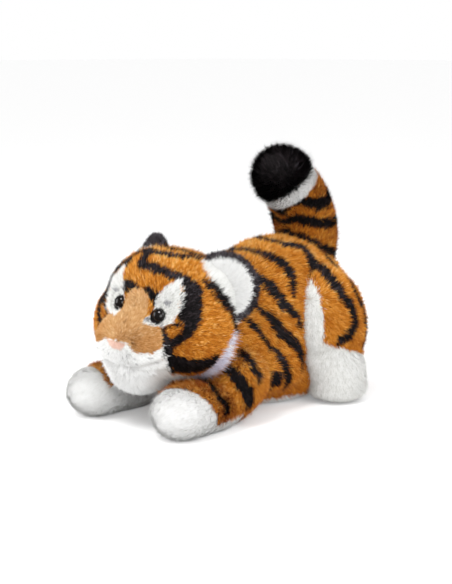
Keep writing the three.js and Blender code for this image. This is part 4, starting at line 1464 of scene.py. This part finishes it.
def floor_material():
    """The floor glows a little where the camera looks, and looks dark in the eyes' mirror."""
    material, shader = new_material("floor_white", FLOOR_ROUGHNESS, 0.0, FLOOR_SPECULAR)
    shader.inputs["Emission Color"].default_value = PURE_WHITE
    nodes = build_nodes(material.node_tree, {
        "path": ("LightPath", {}),
        "grey": ("MapRange", {"To Min": FLOOR_LIT, "To Max": FLOOR_MIRRORED}),
        "seen": ("Math", {}),
        "glow": ("Math", {1: FLOOR_GLOW}),
    }, [
        ("path", "Is Glossy Ray", "grey", "Value"),
        ("grey", "Result", "Principled BSDF", "Base Color"),
        ("path", "Is Camera Ray", "seen", 0),
        ("path", "Is Transmission Ray", "seen", 1),
        ("seen", "Value", "glow", 0),
        ("glow", "Value", "Principled BSDF", "Emission Strength"),
    ])
    nodes["seen"].operation = "MAXIMUM"
    nodes["glow"].operation = "MULTIPLY"
    return material


def set_world():
    """A white sky for the camera, and a softer one for everything that it lights."""
    world = bpy.data.worlds.new("studio")
    bpy.context.scene.world = world
    world.use_nodes = True
    nodes = build_nodes(world.node_tree, {
        "white": ("Background", {"Color": PURE_WHITE, "Strength": 1}),
        "path": ("LightPath", {}),
        "dim": ("Math", {1: MIRRORED_STUDIO - STUDIO_STRENGTH, 2: STUDIO_STRENGTH}),
        "mix": ("MixShader", {}),
    }, [
        ("path", "Is Glossy Ray", "dim", 0),
        ("dim", "Value", "Background", "Strength"),
        ("path", "Is Camera Ray", "mix", "Fac"),
        ("Background", "Background", "mix", 1),
        ("white", "Background", "mix", 2),
        ("mix", "Shader", "World Output", "Surface"),
    ])
    nodes["Background"].inputs["Color"].default_value = PURE_WHITE
    nodes["dim"].operation = "MULTIPLY_ADD"


def make_stage():
    """A pale floor that fades into a white backdrop, and soft studio light."""
    corners = [(x * FLOOR_SIZE, y * FLOOR_SIZE, 0) for x, y in ((-1, -1), (1, -1), (1, 1), (-1, 1))]
    floor = mesh_object("floor", corners, [(0, 1, 2, 3)])
    floor.data.materials.append(floor_material())
    set_world()
    for name, lamp in LAMPS.items():
        area_light(name, *lamp)


set_camera()
make_stage()
make_torso()
make_head()
make_neck()
make_limb("tail")
glossy_black = plastic_material("eye_gloss", EYE_LOOK)
for side, side_name in ((1, "left"), (-1, "right")):
    make_limb("front_leg", side, side_name)
    make_limb("hind_leg", side, side_name)
    make_ear(side, side_name)
    make_eye(side, side_name, glossy_black)
dress_washers()

scene = bpy.context.scene
scene.view_settings.view_transform = "Standard"
